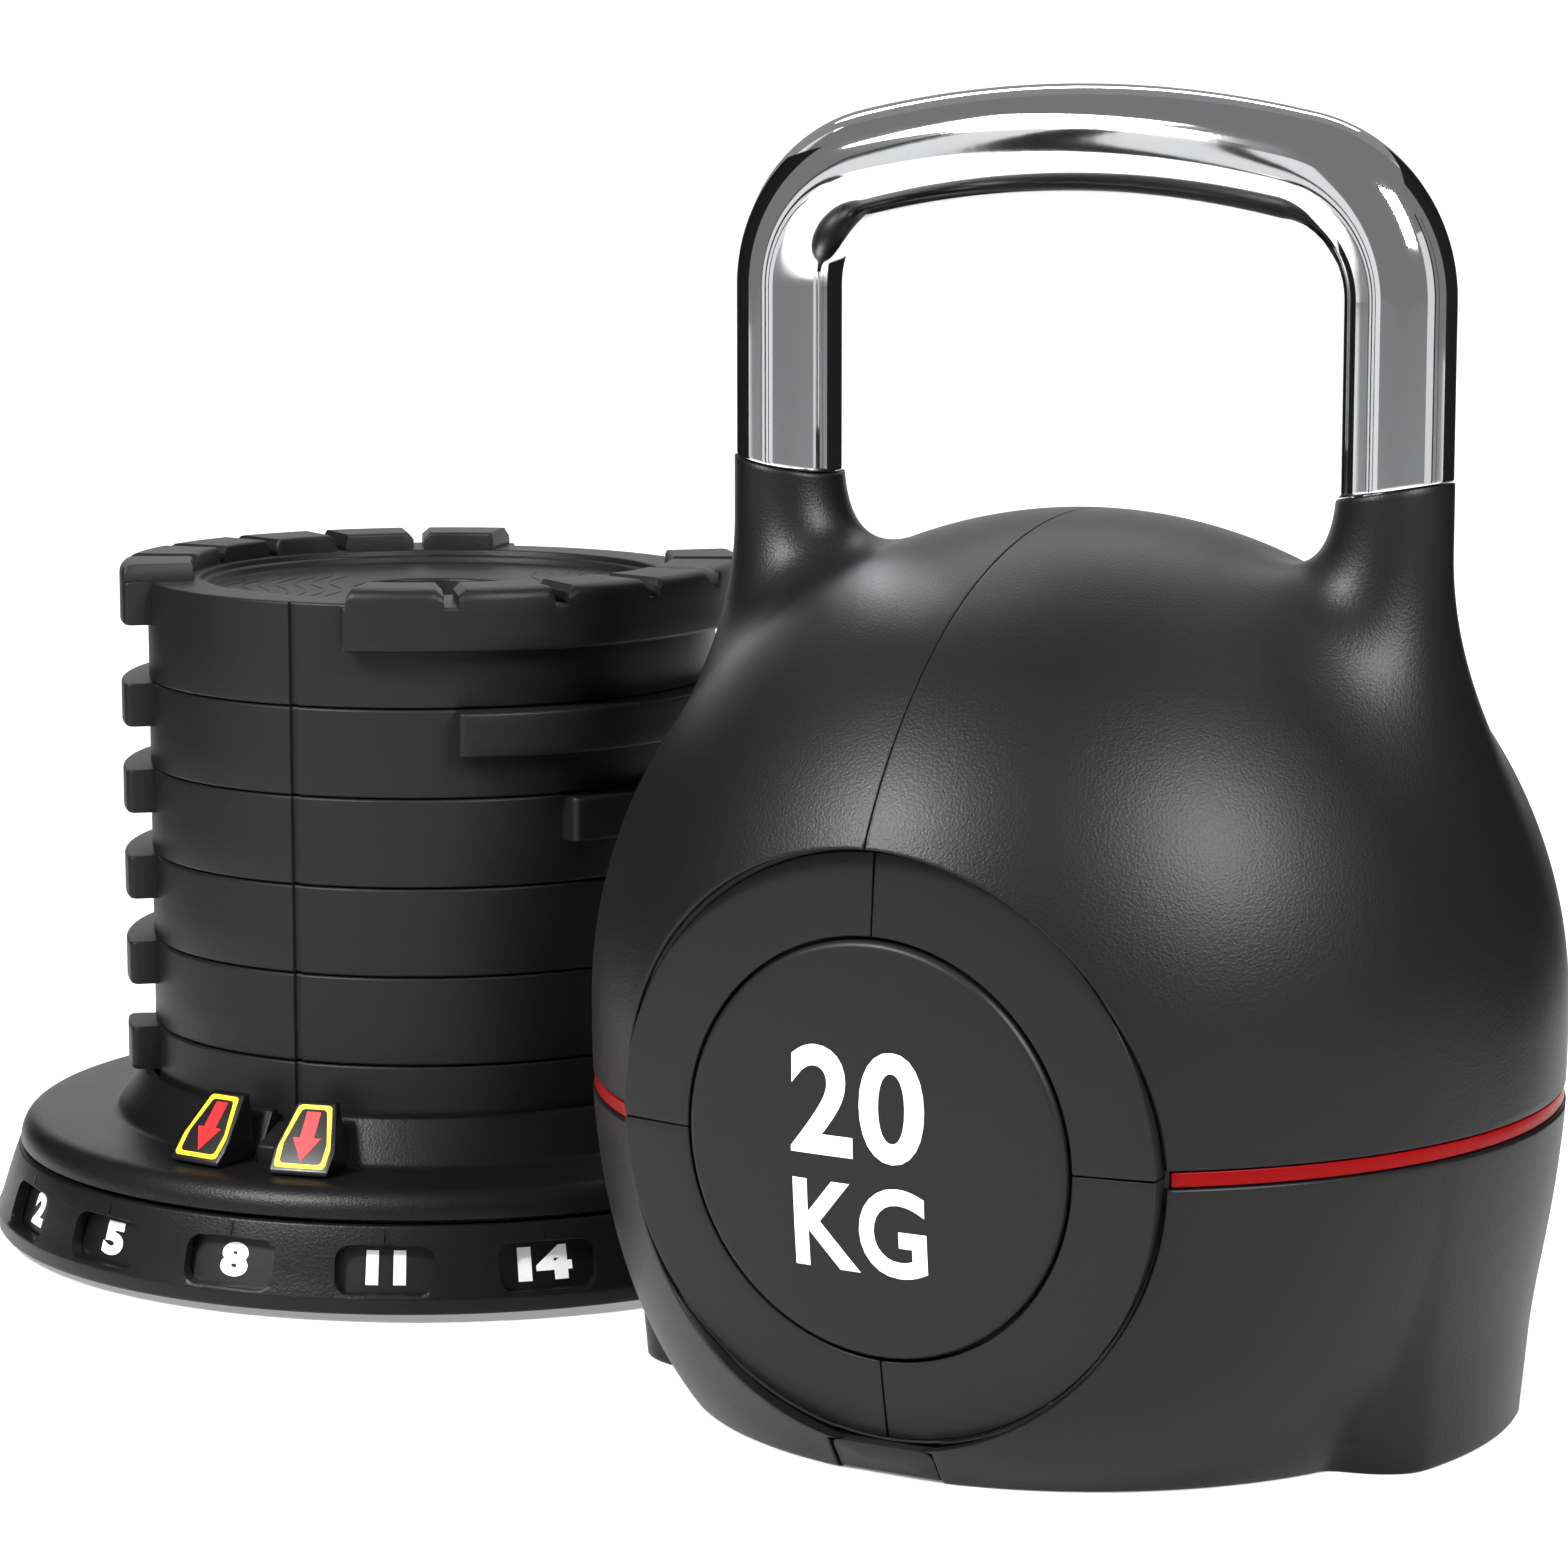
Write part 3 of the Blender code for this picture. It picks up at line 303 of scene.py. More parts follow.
def tube_faces(points):
    """Faces of rings joined one to the next, with a face over each end."""
    rings, size = points.shape[:2]
    last = (rings - 1) * size
    ends = [tuple(range(size)), tuple(range(last, last + size))]
    return grid_quads(rings, size, wrap_columns=True).tolist() + ends


def mesh_from(name, parts, sharp=math.radians(32), weld=2e-6):
    """A mesh from (points, faces) parts: welded, faced outward and smooth,
    with the edges over the sharp angle kept crisp."""
    work = bmesh.new()
    for points, faces in parts:
        corners = [work.verts.new(point) for point in np.asarray(points).reshape(-1, 3).tolist()]
        for face in faces:
            ring = list(dict.fromkeys(int(i) for i in face))
            if len(ring) > 2:
                work.faces.new([corners[i] for i in ring])
    bmesh.ops.remove_doubles(work, verts=work.verts, dist=weld)
    bmesh.ops.dissolve_degenerate(work, dist=weld / 4, edges=work.edges)
    bmesh.ops.recalc_face_normals(work, faces=work.faces)
    mesh = bpy.data.meshes.new(name)
    work.to_mesh(mesh)
    work.free()
    mesh.shade_smooth()
    mesh.set_sharp_from_angle(angle=sharp)
    return mesh


def add_piece(name, mesh, material, body, nodes=()):
    """Link a piece, give it its material, hang it under its body's empty and hide the frame
    nodes that it replaces.  Printed marks are given no nodes."""
    piece = bpy.data.objects.new(name, mesh)
    bpy.context.scene.collection.objects.link(piece)
    mesh.materials.clear()
    mesh.materials.append(material)
    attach(piece, body)
    if nodes:
        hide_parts(*nodes)
    return piece


def unit(vectors):
    """The vectors, each over its own length."""
    return vectors / np.maximum(np.linalg.norm(vectors, axis=-1, keepdims=True), 1e-12)


def arc(centre, radius, start, end, steps):
    """Points of a plane arc from start to end angle, as (steps + 1, 2)."""
    turn = np.linspace(start, end, steps + 1)
    return np.stack([centre[0] + radius * np.cos(turn), centre[1] + radius * np.sin(turn)], axis=-1)


def rounded_outline(corners, radii, steps=5):
    """A closed plane outline with each corner replaced by an arc of its radius.
    Each arc touches both sides at radius * tan(half the turn) from the corner."""
    corners = np.asarray(corners, float)
    outline = []
    count = len(corners)
    for k in range(count):
        here = corners[k]
        back = unit(corners[k - 1] - here)
        ahead = unit(corners[(k + 1) % count] - here)
        radius = radii[k] if np.ndim(radii) else radii
        if radius <= 0:
            outline.append(here[None])
            continue
        half = math.acos(float(np.clip(np.dot(back, ahead), -1, 1))) / 2
        reach = radius / math.tan(half)
        centre = here + unit(back + ahead) * radius / math.sin(half)
        first = here + back * reach - centre
        start = math.atan2(first[1], first[0])
        last = here + ahead * reach - centre
        turn = math.atan2(last[1], last[0]) - start
        turn = (turn + math.pi) % (2 * math.pi) - math.pi
        outline.append(arc(centre, radius, start, start + turn, steps))
    return np.concatenate(outline)


def revolved(outline, columns, place):
    """A closed (radius, z) outline carried all the way round an axis."""
    turn = 2 * math.pi * np.arange(columns) / columns
    points = place(outline[:, 0][:, None], turn[None, :], outline[:, 1][:, None])
    return points, grid_quads(len(outline), columns, True, True)


def applied(target, name):
    """The mesh that an object's modifiers give, with the object removed."""
    graph = bpy.context.evaluated_depsgraph_get()
    mesh = bpy.data.meshes.new_from_object(target.evaluated_get(graph))
    mesh.name = name
    old = target.data
    bpy.data.objects.remove(target, do_unlink=True)
    if old.users == 0:
        bpy.data.meshes.remove(old)
    return mesh


def cut_mesh(name, mesh, cutters, sharp=math.radians(32)):
    """The mesh less the cutters' meshes, by an exact Boolean each."""
    target = bpy.data.objects.new(name + "_uncut", mesh)
    bpy.context.scene.collection.objects.link(target)
    tools = []
    for k, cutter in enumerate(cutters):
        tool = bpy.data.objects.new("%s_tool_%d" % (name, k), cutter)
        bpy.context.scene.collection.objects.link(tool)
        tools.append(tool)
        step = target.modifiers.new("cut", "BOOLEAN")
        step.operation = "DIFFERENCE"
        step.solver = "EXACT"
        step.object = tool
    result = applied(target, name)
    for tool in tools:
        bpy.data.objects.remove(tool, do_unlink=True)
    result.shade_smooth()
    result.set_sharp_from_angle(angle=sharp)
    return result


# ---- materials ----

def new_material(name):
    """An empty Principled material: (material, tree, shader)."""
    material = bpy.data.materials.new(name)
    material.use_nodes = True
    tree = material.node_tree
    return material, tree, tree.nodes["Principled BSDF"]


def add_node(tree, kind, settings=None, **links):
    """Add a node, set its attributes and sockets, and link sockets to it.
    A setting named as an attribute is set on the node, any other is a socket."""
    node = tree.nodes.new(kind)
    for key, value in (settings or {}).items():
        if hasattr(node, key):
            setattr(node, key, value)
        else:
            node.inputs[key].default_value = value
    for socket, source in links.items():
        tree.links.new(source, node.inputs[socket.replace("_", " ")])
    return node


def mixed(tree, factor, dark, light):
    """A colour that runs from dark to light with the factor."""
    node = add_node(tree, "ShaderNodeMix", {"data_type": "RGBA"})
    tree.links.new(factor, node.inputs["Factor"])
    colours = [socket for socket in node.inputs if socket.type == "RGBA"]
    colours[0].default_value = (*dark, 1.0)
    colours[1].default_value = (*light, 1.0)
    return node.outputs[2]


def moulded_plastic(name, base, roughness, grain_mm, depth_mm, strength):
    """Black ABS from a spark-eroded mould: an even fine grain that breaks highlights into sparkle,
    a slight drift in sheen, and painted shade in the hollows of the grain with painted highlight on its
    peaks."""
    material, tree, shader = new_material(name)
    shader.inputs["IOR"].default_value = 1.5
    shader.inputs["Specular IOR Level"].default_value = 0.2
    place = add_node(tree, "ShaderNodeTexCoord").outputs["Object"]
    grain = add_node(tree, "ShaderNodeTexNoise",
                     {"Scale": 1 / (grain_mm * MM), "Detail": 3.0, "Roughness": 0.6}, Vector=place)
    pits = add_node(tree, "ShaderNodeTexVoronoi",
                    {"Scale": 0.8 / (grain_mm * MM), "feature": "SMOOTH_F1"}, Vector=place)
    relief = add_node(tree, "ShaderNodeMath", {"operation": "ADD"})
    tree.links.new(grain.outputs["Fac"], relief.inputs[0])
    tree.links.new(pits.outputs["Distance"], relief.inputs[1])
    bump = add_node(tree, "ShaderNodeBump", {"Strength": strength, "Distance": depth_mm * MM},
                    Height=relief.outputs[0])
    tree.links.new(bump.outputs["Normal"], shader.inputs["Normal"])
    drift = add_node(tree, "ShaderNodeTexNoise", {"Scale": 14.0, "Detail": 2.0}, Vector=place)
    sheen = add_node(tree, "ShaderNodeMapRange",
                     {"To Min": roughness - 0.03, "To Max": roughness + 0.04},
                     Value=drift.outputs["Fac"])
    tree.links.new(sheen.outputs["Result"], shader.inputs["Roughness"])
    # Painted shade and highlight of the grain: base colour darker where the grain is low, lighter where it
    # is high.
    shade = mixed(tree, grain.outputs["Fac"], tuple(v * 0.8 for v in base),
                  tuple(min(1.0, v * 1.5) for v in base))
    tree.links.new(shade, shader.inputs["Base Color"])
    return material


def polished_chrome(name):
    """Hard chrome over polished steel: a near mirror with hair-fine polishing marks
    and the slight orange peel of the plating."""
    material, tree, shader = new_material(name)
    shader.inputs["Base Color"].default_value = (*srgb("#E3E4E6"), 1.0)
    shader.inputs["Metallic"].default_value = 1.0
    place = add_node(tree, "ShaderNodeTexCoord").outputs["Object"]
    wear = add_node(tree, "ShaderNodeTexNoise", {"Scale": 60.0, "Detail": 4.0}, Vector=place)
    rough = add_node(tree, "ShaderNodeMapRange", {"To Min": 0.035, "To Max": 0.075},
                     Value=wear.outputs["Fac"])
    tree.links.new(rough.outputs["Result"], shader.inputs["Roughness"])
    peel = add_node(tree, "ShaderNodeTexNoise", {"Scale": 220.0, "Detail": 1.0}, Vector=place)
    bump = add_node(tree, "ShaderNodeBump", {"Strength": 0.02, "Distance": 0.2 * MM},
                    Height=peel.outputs["Fac"])
    tree.links.new(bump.outputs["Normal"], shader.inputs["Normal"])
    return material


def smooth_print(name, base, roughness, gloss=0.5):
    """Pad-printed ink or smooth plastic: flat colour with a trace of unevenness
    where the ink lies thinner."""
    material, tree, shader = new_material(name)
    shader.inputs["IOR"].default_value = 1.5
    shader.inputs["Specular IOR Level"].default_value = gloss
    place = add_node(tree, "ShaderNodeTexCoord").outputs["Object"]
    spread = add_node(tree, "ShaderNodeTexNoise", {"Scale": 350.0, "Detail": 2.0}, Vector=place)
    rough = add_node(tree, "ShaderNodeMapRange",
                     {"To Min": roughness - 0.04, "To Max": roughness + 0.05},
                     Value=spread.outputs["Fac"])
    tree.links.new(rough.outputs["Result"], shader.inputs["Roughness"])
    shade = mixed(tree, spread.outputs["Fac"], tuple(v * 0.93 for v in base), base)
    tree.links.new(shade, shader.inputs["Base Color"])
    return material


def zinc_steel(name):
    """Bright zinc plate on pressed steel: a soft grey metal with a mottled sheen."""
    material, tree, shader = new_material(name)
    shader.inputs["Base Color"].default_value = (*srgb("#A9ABAE"), 1.0)
    shader.inputs["Metallic"].default_value = 1.0
    place = add_node(tree, "ShaderNodeTexCoord").outputs["Object"]
    mottle = add_node(tree, "ShaderNodeTexVoronoi", {"Scale": 180.0}, Vector=place)
    rough = add_node(tree, "ShaderNodeMapRange", {"To Min": 0.28, "To Max": 0.46},
                     Value=mottle.outputs["Distance"])
    tree.links.new(rough.outputs["Result"], shader.inputs["Roughness"])
    return material


def soft_rubber(name, base):
    """Moulded black rubber: matte, slightly dusty, with a fine pore."""
    material, tree, shader = new_material(name)
    place = add_node(tree, "ShaderNodeTexCoord").outputs["Object"]
    pore = add_node(tree, "ShaderNodeTexNoise", {"Scale": 1400.0, "Detail": 2.0}, Vector=place)
    bump = add_node(tree, "ShaderNodeBump", {"Strength": 0.2, "Distance": 0.15 * MM},
                    Height=pore.outputs["Fac"])
    tree.links.new(bump.outputs["Normal"], shader.inputs["Normal"])
    dust = add_node(tree, "ShaderNodeMapRange", {"To Min": 0.7, "To Max": 0.9},
                    Value=pore.outputs["Fac"])
    tree.links.new(dust.outputs["Result"], shader.inputs["Roughness"])
    shader.inputs["Base Color"].default_value = (*base, 1.0)
    return material


MATERIALS = {}


def finish_of(name):
    """The material of one finish, made the first time that it is asked for."""
    if name not in MATERIALS:
        tones = bpy.context.scene.kettlebell_colour
        makers = {
            "textured_abs": lambda: moulded_plastic(name, tuple(tones.shell), 0.40, 0.55, 0.10, 0.55),
            "satin_abs": lambda: moulded_plastic(name, tuple(tones.disc), 0.42, 0.35, 0.05, 0.25),
            "plate_skin": lambda: moulded_plastic(name, tuple(tones.plate), 0.46, 0.6, 0.10, 0.45),
            "number_field": lambda: smooth_print(name, tuple(tones.gloss), 0.35),
            "red_strip": lambda: smooth_print(name, tuple(tones.red), 0.34, 0.08),
            "white_print": lambda: smooth_print(name, tuple(tones.print_white), 0.5),
            "yellow_print": lambda: smooth_print(name, tuple(tones.label_yellow), 0.4),
            "red_print": lambda: smooth_print(name, tuple(tones.label_red), 0.4),
            "chrome": lambda: polished_chrome(name),
            "zinc_steel": lambda: zinc_steel(name),
            "rubber": lambda: soft_rubber(name, srgb("#1C1C1C")),
            "acetal": lambda: smooth_print(name, srgb("#E2E1DC"), 0.45),
        }
        MATERIALS[name] = makers[name]()
    return MATERIALS[name]


# ---- the body's form ----

def form():
    """The settings of the body."""
    return bpy.context.scene.kettlebell_body


def body_radius(z):
    """Radius at a height: a ball over its centre, and under it the curve whose
    radius and depth, each over its own reach, have powers that add up to one."""
    shape = form()
    rise = np.asarray(z, float) - shape.centre
    ball = np.sqrt(np.maximum(shape.radius ** 2 - np.maximum(rise, 0) ** 2, 0))
    share = np.clip(-np.minimum(rise, 0) / shape.lower_reach, 0, 1) ** shape.lower_power
    full = shape.radius * (1 - share) ** (1 / shape.lower_power)
    return np.where(rise >= 0, ball, full)


def body_distance(points):
    """About how far points are outside the body, without its necks."""
    shape = form()
    across = np.hypot(points[..., 0], points[..., 1])
    rise = points[..., 2] - shape.centre
    ball = np.hypot(across, rise) - shape.radius
    drop = np.abs(rise) * shape.radius / shape.lower_reach
    power = shape.lower_power
    full = (across ** power + drop ** power) ** (1 / power) - shape.radius
    return np.where(rise >= 0, ball, full)


def neck_distance(points):
    """How far points are outside the upright cylinder round the right leg."""
    leg = bpy.context.scene.kettlebell_handle.spacing / 2
    return np.hypot(points[..., 0] - leg, points[..., 1]) - form().neck_radius


def skin_distance(points):
    """Body and neck flowed together: the lesser distance, less a cubic that
    grows as the two distances come within the blend width of each other."""
    body = body_distance(points)
    neck = neck_distance(points)
    width = form().blend
    closeness = np.maximum(width - np.abs(body - neck), 0) / width
    return np.minimum(body, neck) - closeness ** 2 * width / 4


def slope_of(distance, points, step=2e-5):
    """Gradient of a distance by central differences."""
    slopes = []
    for axis in range(3):
        shift = np.zeros(3)
        shift[axis] = step
        slopes.append((distance(points + shift) - distance(points - shift)) / (2 * step))
    return np.stack(slopes, axis=-1)


def drawn_to(distance, points, rounds=8):
    """Points moved along the gradient until they lie on the surface."""
    for _ in range(rounds):
        slope = slope_of(distance, points)
        points = points - slope * (distance(points) / np.sum(slope ** 2, axis=-1))[..., None]
    return points


# ---- shells ----

def opening_radius():
    """Radius of the round opening that a ring sits in."""
    face = bpy.context.scene.kettlebell_face
    return face.ring + face.gap


def opening_rim(turn):
    """Where a face opening meets the body, at an angle up from its lowest point:
    across and height on a circle, and depth from the body's radius there."""
    reach = opening_radius()
    height = bpy.context.scene.kettlebell_face.height
    across = reach * np.sin(turn)
    z = height - reach * np.cos(turn)
    return np.stack([across, -np.sqrt(body_radius(z) ** 2 - across ** 2), z], axis=-1)


def upper_rim(band_z, seam, counts):
    """Outline of the right upper shell on the body's skin, from the front end of its
    lower edge round to the rear, up the rear opening, over the dome and down again.
    Returns points, and for each the side it is on: 0 band, 1 opening, 2 seam."""
    shape = form()
    face = bpy.context.scene.kettlebell_face
    reach = opening_radius()
    start = math.acos((face.height - band_z) / reach)
    radius = float(body_radius(band_z))
    front = math.asin(reach * math.sin(start) / radius)
    swing = np.linspace(front, math.pi - front, counts[0], endpoint=False)
    band = np.stack([radius * np.sin(swing), -radius * np.cos(swing),
                     np.full(swing.size, band_z)], axis=-1)
    end = math.pi - math.asin(seam / reach)
    rise = opening_rim(np.linspace(start, end, counts[1], endpoint=False))
    rear_arc = rise * (1, -1, 1)
    top = opening_rim(np.array([end]))[0]
    lift = math.atan2(top[2] - shape.centre, abs(top[1]))
    sweep = np.linspace(lift, math.pi - lift, counts[2], endpoint=False)
    inner = math.sqrt(shape.radius ** 2 - seam ** 2)
    over = np.stack([np.full(sweep.size, seam), inner * np.cos(sweep),
                     shape.centre + inner * np.sin(sweep)], axis=-1)
    fall = opening_rim(np.linspace(end, start, counts[1], endpoint=False))
    sides = np.concatenate([np.full(n, side) for n, side in
                            zip((counts[0], counts[1], counts[2], counts[1]), (0, 1, 2, 1))])
    return np.concatenate([band, rear_arc, over, fall]), sides


def upper_shell():
    """Right upper shell as one closed grid.  Its rows are rings round the neck: first
    up the inside of the skin, then from the collar down the neck, out over the body to
    the rim, round the rim's edge and back along the inside.  Its columns are the rim's
    own points, so corners stay crisp."""
    shape = form()
    handle = bpy.context.scene.kettlebell_handle
    band_z = box_of("shell_upper_right")[0][2]
    rim, sides = upper_rim(band_z, shape.seam, (132, 62, 104))
    leg = handle.spacing / 2
    centre = np.array([0, 0, shape.centre])
    foot = unit(np.array([leg, 0, math.sqrt(shape.radius ** 2 - leg ** 2)]))
    down = np.array([foot[2], 0, -foot[0]])
    aside = np.array([0, 1.0, 0])

    def chart(direction):
        scale = 2 / (1 + direction @ foot)
        return np.stack([direction @ down * scale, direction @ aside * scale], axis=-1)

    def unchart(flat):
        square = np.sum(flat ** 2, axis=-1, keepdims=True) / 4
        return ((1 - square) * foot + flat[..., :1] * down + flat[..., 1:] * aside) / (1 + square)

    flat_rim = chart(unit(rim - centre))
    bearing = np.arctan2(flat_rim[:, 1], flat_rim[:, 0])
    heading = np.stack([np.cos(bearing), np.sin(bearing)], axis=-1)
    far = np.linalg.norm(flat_rim, axis=-1)
    near = 2 * math.tan(math.radians(20) / 2)
    collar = np.stack([leg + shape.neck_radius * heading[:, 0], shape.neck_radius * heading[:, 1],
                       shape.collar + shape.collar_slope * shape.neck_radius * heading[:, 0]],
                      axis=-1)
    spread = np.linspace(0, 1, 72)[1:-1, None, None]
    body_rows = centre + shape.radius * unchart(
        heading * (near + (far - near)[:, None] * spread))
    landing = centre + shape.radius * unchart(heading * near)
    waist = np.stack([leg + 1.15 * shape.neck_radius * heading[:, 0],
                      1.15 * shape.neck_radius * heading[:, 1],
                      landing[:, 2] * 0.45 + collar[:, 2] * 0.55 - 12 * MM], axis=-1)
    share = np.linspace(0, 1, 40)[1:, None, None]
    neck_rows = (1 - share) ** 2 * collar + 2 * share * (1 - share) * waist + share ** 2 * landing
    skin = drawn_to(skin_distance, np.concatenate([neck_rows, body_rows]))
    first = drawn_to(skin_distance, collar)
    first[:, 2] = shape.collar + shape.collar_slope * (first[:, 0] - leg)
    skin = np.concatenate([first[None], skin])
    facing = unit(slope_of(skin_distance, skin))

    rim_facing = unit(slope_of(skin_distance, rim))
    inward = unit(skin[-1] - rim)
    inward = unit(inward - rim_facing * np.sum(inward * rim_facing, axis=-1, keepdims=True))
    roll = np.choose(sides, [0.5 * MM, 0.6 * MM, 0.22 * MM])[:, None]
    edge = []
    for turn in np.linspace(0, math.pi / 2, 5):
        edge.append(rim + inward * roll * (1 - math.sin(turn))
                    - rim_facing * roll * (1 - math.cos(turn)))
    plunge = -rim_facing.copy()
    plunge[sides == 1] = (0, 1, 0)
    plunge[sides == 1] *= -np.sign(rim[sides == 1][:, 1:2])
    plunge[sides == 0] = -unit(rim[sides == 0] * (1, 1, 0))
    depth = shape.wall / np.abs(np.sum(plunge * rim_facing, axis=-1, keepdims=True))
    edge.append(rim + plunge * depth)

    kept = list(range(len(skin) - 8, 0, -6))
    inside = skin[kept] - facing[kept] * shape.wall
    bore = shape.neck_radius - shape.wall + 0.2 * MM
    mouth = np.stack([leg + bore * heading[:, 0], bore * heading[:, 1],
                      shape.collar + shape.collar_slope * bore * heading[:, 0]], axis=-1)
    lip = 0.35 * MM
    soft = [mouth + (0, 0, -1.5 * MM), mouth]
    shoulder = first - np.concatenate([heading, np.zeros((len(heading), 1))], axis=-1) * lip
    first_row = skin[0] - (0, 0, lip)
    rows = np.concatenate([inside, soft, shoulder[None], first_row[None], skin[1:], edge])
    return rows, grid_quads(len(rows), len(rim), True, True)


def foot_reach(turn, z):
    """Radius of a side foot: nearly upright, fading out either side of its middle."""
    shape = form()
    out = shape.foot_radius + 0.09 * z
    past = np.maximum(np.abs(np.abs(turn) - math.pi / 2) - shape.foot_spread, 0)
    return out - (past / shape.foot_fade) ** 2 * 14 * MM


def lower_radius(turn, z):
    """The greater of body and foot radius, with a narrow soft crease between."""
    body = body_radius(z) + 0.35 * MM * np.clip((z - 40 * MM) / (40 * MM), 0, 1)
    foot = foot_reach(turn, z)
    width = 5 * MM
    closeness = np.maximum(width - np.abs(body - foot), 0) / width
    return np.maximum(body, foot) + closeness ** 2 * width / 4


def near_edges(start, end, count, roll):
    """Parameters from start to end with extra ones where an edge is rounded."""
    close = np.array([0, 0.03, 0.12, 0.3, 0.6]) * roll
    middle = np.linspace(start + roll, end - roll, count)
    return np.concatenate([start + close, middle, end - close[::-1]])


def rolled(distance, roll):
    """Depth of a rounded edge at a distance from it."""
    short = np.clip(roll - distance, 0, roll)
    return roll - np.sqrt(np.maximum(roll ** 2 - short ** 2, 0))


def lower_shell():
    """Right lower shell: rows of equal height, each from the front opening or the
    pointer's notch round to the rear opening, as an outer and an inner skin."""
    shape = form()
    face = bpy.context.scene.kettlebell_face
    reach = opening_radius()
    top = box_of("shell_lower_right")[1][2]
    notch_top = box_of("front_pointer")[1][2] + 0.3 * MM
    sill = face.height - reach
    climb = math.acos((face.height - top) / reach)
    low_rows = near_edges(0, sill, 7, 0.8 * MM)[:-5]
    rise = face.height - reach * np.cos(np.linspace(0, climb, 70))
    top_rows = top - np.array([0.9, 0.6, 0.36, 0.18, 0.06, 0.0]) * MM
    z = np.concatenate([low_rows, rise[rise < top - 1.2 * MM], top_rows])[:, None]
    across = np.sqrt(np.maximum(reach ** 2 - (z - face.height) ** 2, 0)) * (z > sill)
    radius_front = body_radius(z)
    front = np.arcsin(np.maximum(across, shape.notch * (z < notch_top)) / radius_front)
    rear = math.pi - np.arcsin(np.maximum(across, shape.seam) / radius_front)
    roll = 0.55 * MM
    share = near_edges(0.0, 1.0, 150, roll / (2.2 * shape.radius))[None, :]
    turn = front + (rear - front) * share
    outer = lower_radius(turn, z)
    side_gap = np.minimum(turn - front, rear - turn) * outer
    rim_gap = np.minimum(z, top - z)
    depth = rolled(side_gap, roll) + rolled(rim_gap, 0.9 * MM)
    outer_points = np.stack([(outer - depth) * np.sin(turn), -(outer - depth) * np.cos(turn),
                             np.broadcast_to(z, turn.shape)], axis=-1)
    inner = body_radius(z) - shape.wall + 0 * turn
    inner_points = np.stack([inner * np.sin(turn), -inner * np.cos(turn),
                             np.broadcast_to(z, turn.shape)], axis=-1)
    rows, columns = turn.shape
    skins = np.concatenate([outer_points, inner_points[::-1]])
    faces = [grid_quads(2 * rows, columns, wrap_rows=True)]
    for column in (0, columns - 1):
        outward = np.arange(rows - 1) * columns + column
        inward = (2 * rows - 1 - np.arange(rows - 1)) * columns + column
        faces.append(np.stack([outward, outward + columns, inward - columns, inward], axis=-1))
    return skins, np.concatenate(faces)


def mirrored(points):
    """The same grid on the left: across turned round; faces are righted later."""
    return points * (-1, 1, 1)


def make_shells():
    """The four shells: the right ones as they are, the left ones mirrored."""
    finish = finish_of("textured_abs")
    for level, maker in (("upper", upper_shell), ("lower", lower_shell)):
        points, faces = maker()
        for side, placed in (("right", points), ("left", mirrored(points))):
            name = "shell_%s_%s" % (level, side)
            mesh = mesh_from(name + "_fine", [(on_kettlebell(placed), faces)],
                             sharp=math.radians(50))
            add_piece(name + "_fine", mesh, finish, "kettlebell", (name,))


# ---- band, discs and pointer ----

def shrunk(section, by):
    """A closed plane outline drawn in towards the middle of its box."""
    low = section.min(axis=0)
    high = section.max(axis=0)
    half = (high - low) / 2
    middle = (low + high) / 2
    return (section - middle) * (np.maximum(half - by, half * 0.2) / half) + middle


def swept(section, start, end, count, roll, place):
    """A closed (radius, depth) section carried round from start to end angle.
    At each end it is drawn in along a quarter circle, so the end's edges are round."""
    radius = section[:, 0].mean()
    steps = np.linspace(math.pi / 2, 0, 4)
    back = roll * (1 - np.sin(steps[::-1])) / radius
    draw = roll * (1 - np.cos(steps[::-1]))
    turns = np.concatenate([start + back[::-1], np.linspace(start + roll / radius,
                            end - roll / radius, count)[1:-1], end - back])
    draws = np.concatenate([draw[::-1], np.zeros(count - 2), draw])
    rings = []
    for turn, by in zip(turns, draws):
        ring = shrunk(section, by)
        rings.append(place(ring[:, 0], np.full(len(ring), turn), ring[:, 1]))
    points = np.stack(rings)
    return points, tube_faces(points)


def about_body(radius, turn, z):
    """Point at an angle about the kettlebell's axis, from its front."""
    return on_kettlebell(np.stack([radius * np.sin(turn), -radius * np.cos(turn), z], axis=-1))


def rounded_box_section(low, high, roll):
    """A rectangle in two coordinates with rounded corners, as a closed outline."""
    corners = [(low[0], low[1]), (high[0], low[1]), (high[0], high[1]), (low[0], high[1])]
    return rounded_outline(corners, roll, 3)


def make_bands():
    """The coloured strip: a rounded section round each side of the body."""
    shape = form()
    low, high = box_of("red_band_right")
    radius = float(body_radius((low[2] + high[2]) / 2))
    outside = radius - shape.band_recess
    section = rounded_box_section((outside - shape.band_depth, low[2]), (outside, high[2]), 0.3 * MM)
    start = math.asin((opening_radius() + 1.0 * MM) / radius)
    for side, turn in (("right", 0.0), ("left", math.pi)):
        name = "red_band_" + side
        part = swept(section, start + turn, math.pi - start + turn, 120, 0.3 * MM, about_body)
        mesh = mesh_from(name + "_fine", [part])
        add_piece(name + "_fine", mesh, finish_of("red_strip"), "kettlebell", (name,))


def on_face(across, up, out, front=True):
    """Local place on the front or rear disc plane, which leans outward at its top.
    The discs are crowned: they fall away by the square of the distance from the
    centre over twice the dome's radius."""
    face = bpy.context.scene.kettlebell_face
    out = out + face.crown - (across ** 2 + up ** 2) / (2 * face.dome)
    depth = face.distance + out * math.cos(face.tilt) + up * math.sin(face.tilt)
    z = face.height + up * math.cos(face.tilt) - out * math.sin(face.tilt)
    side = 1 if front else -1
    return on_kettlebell(np.stack([side * across, -side * depth, z], axis=-1))


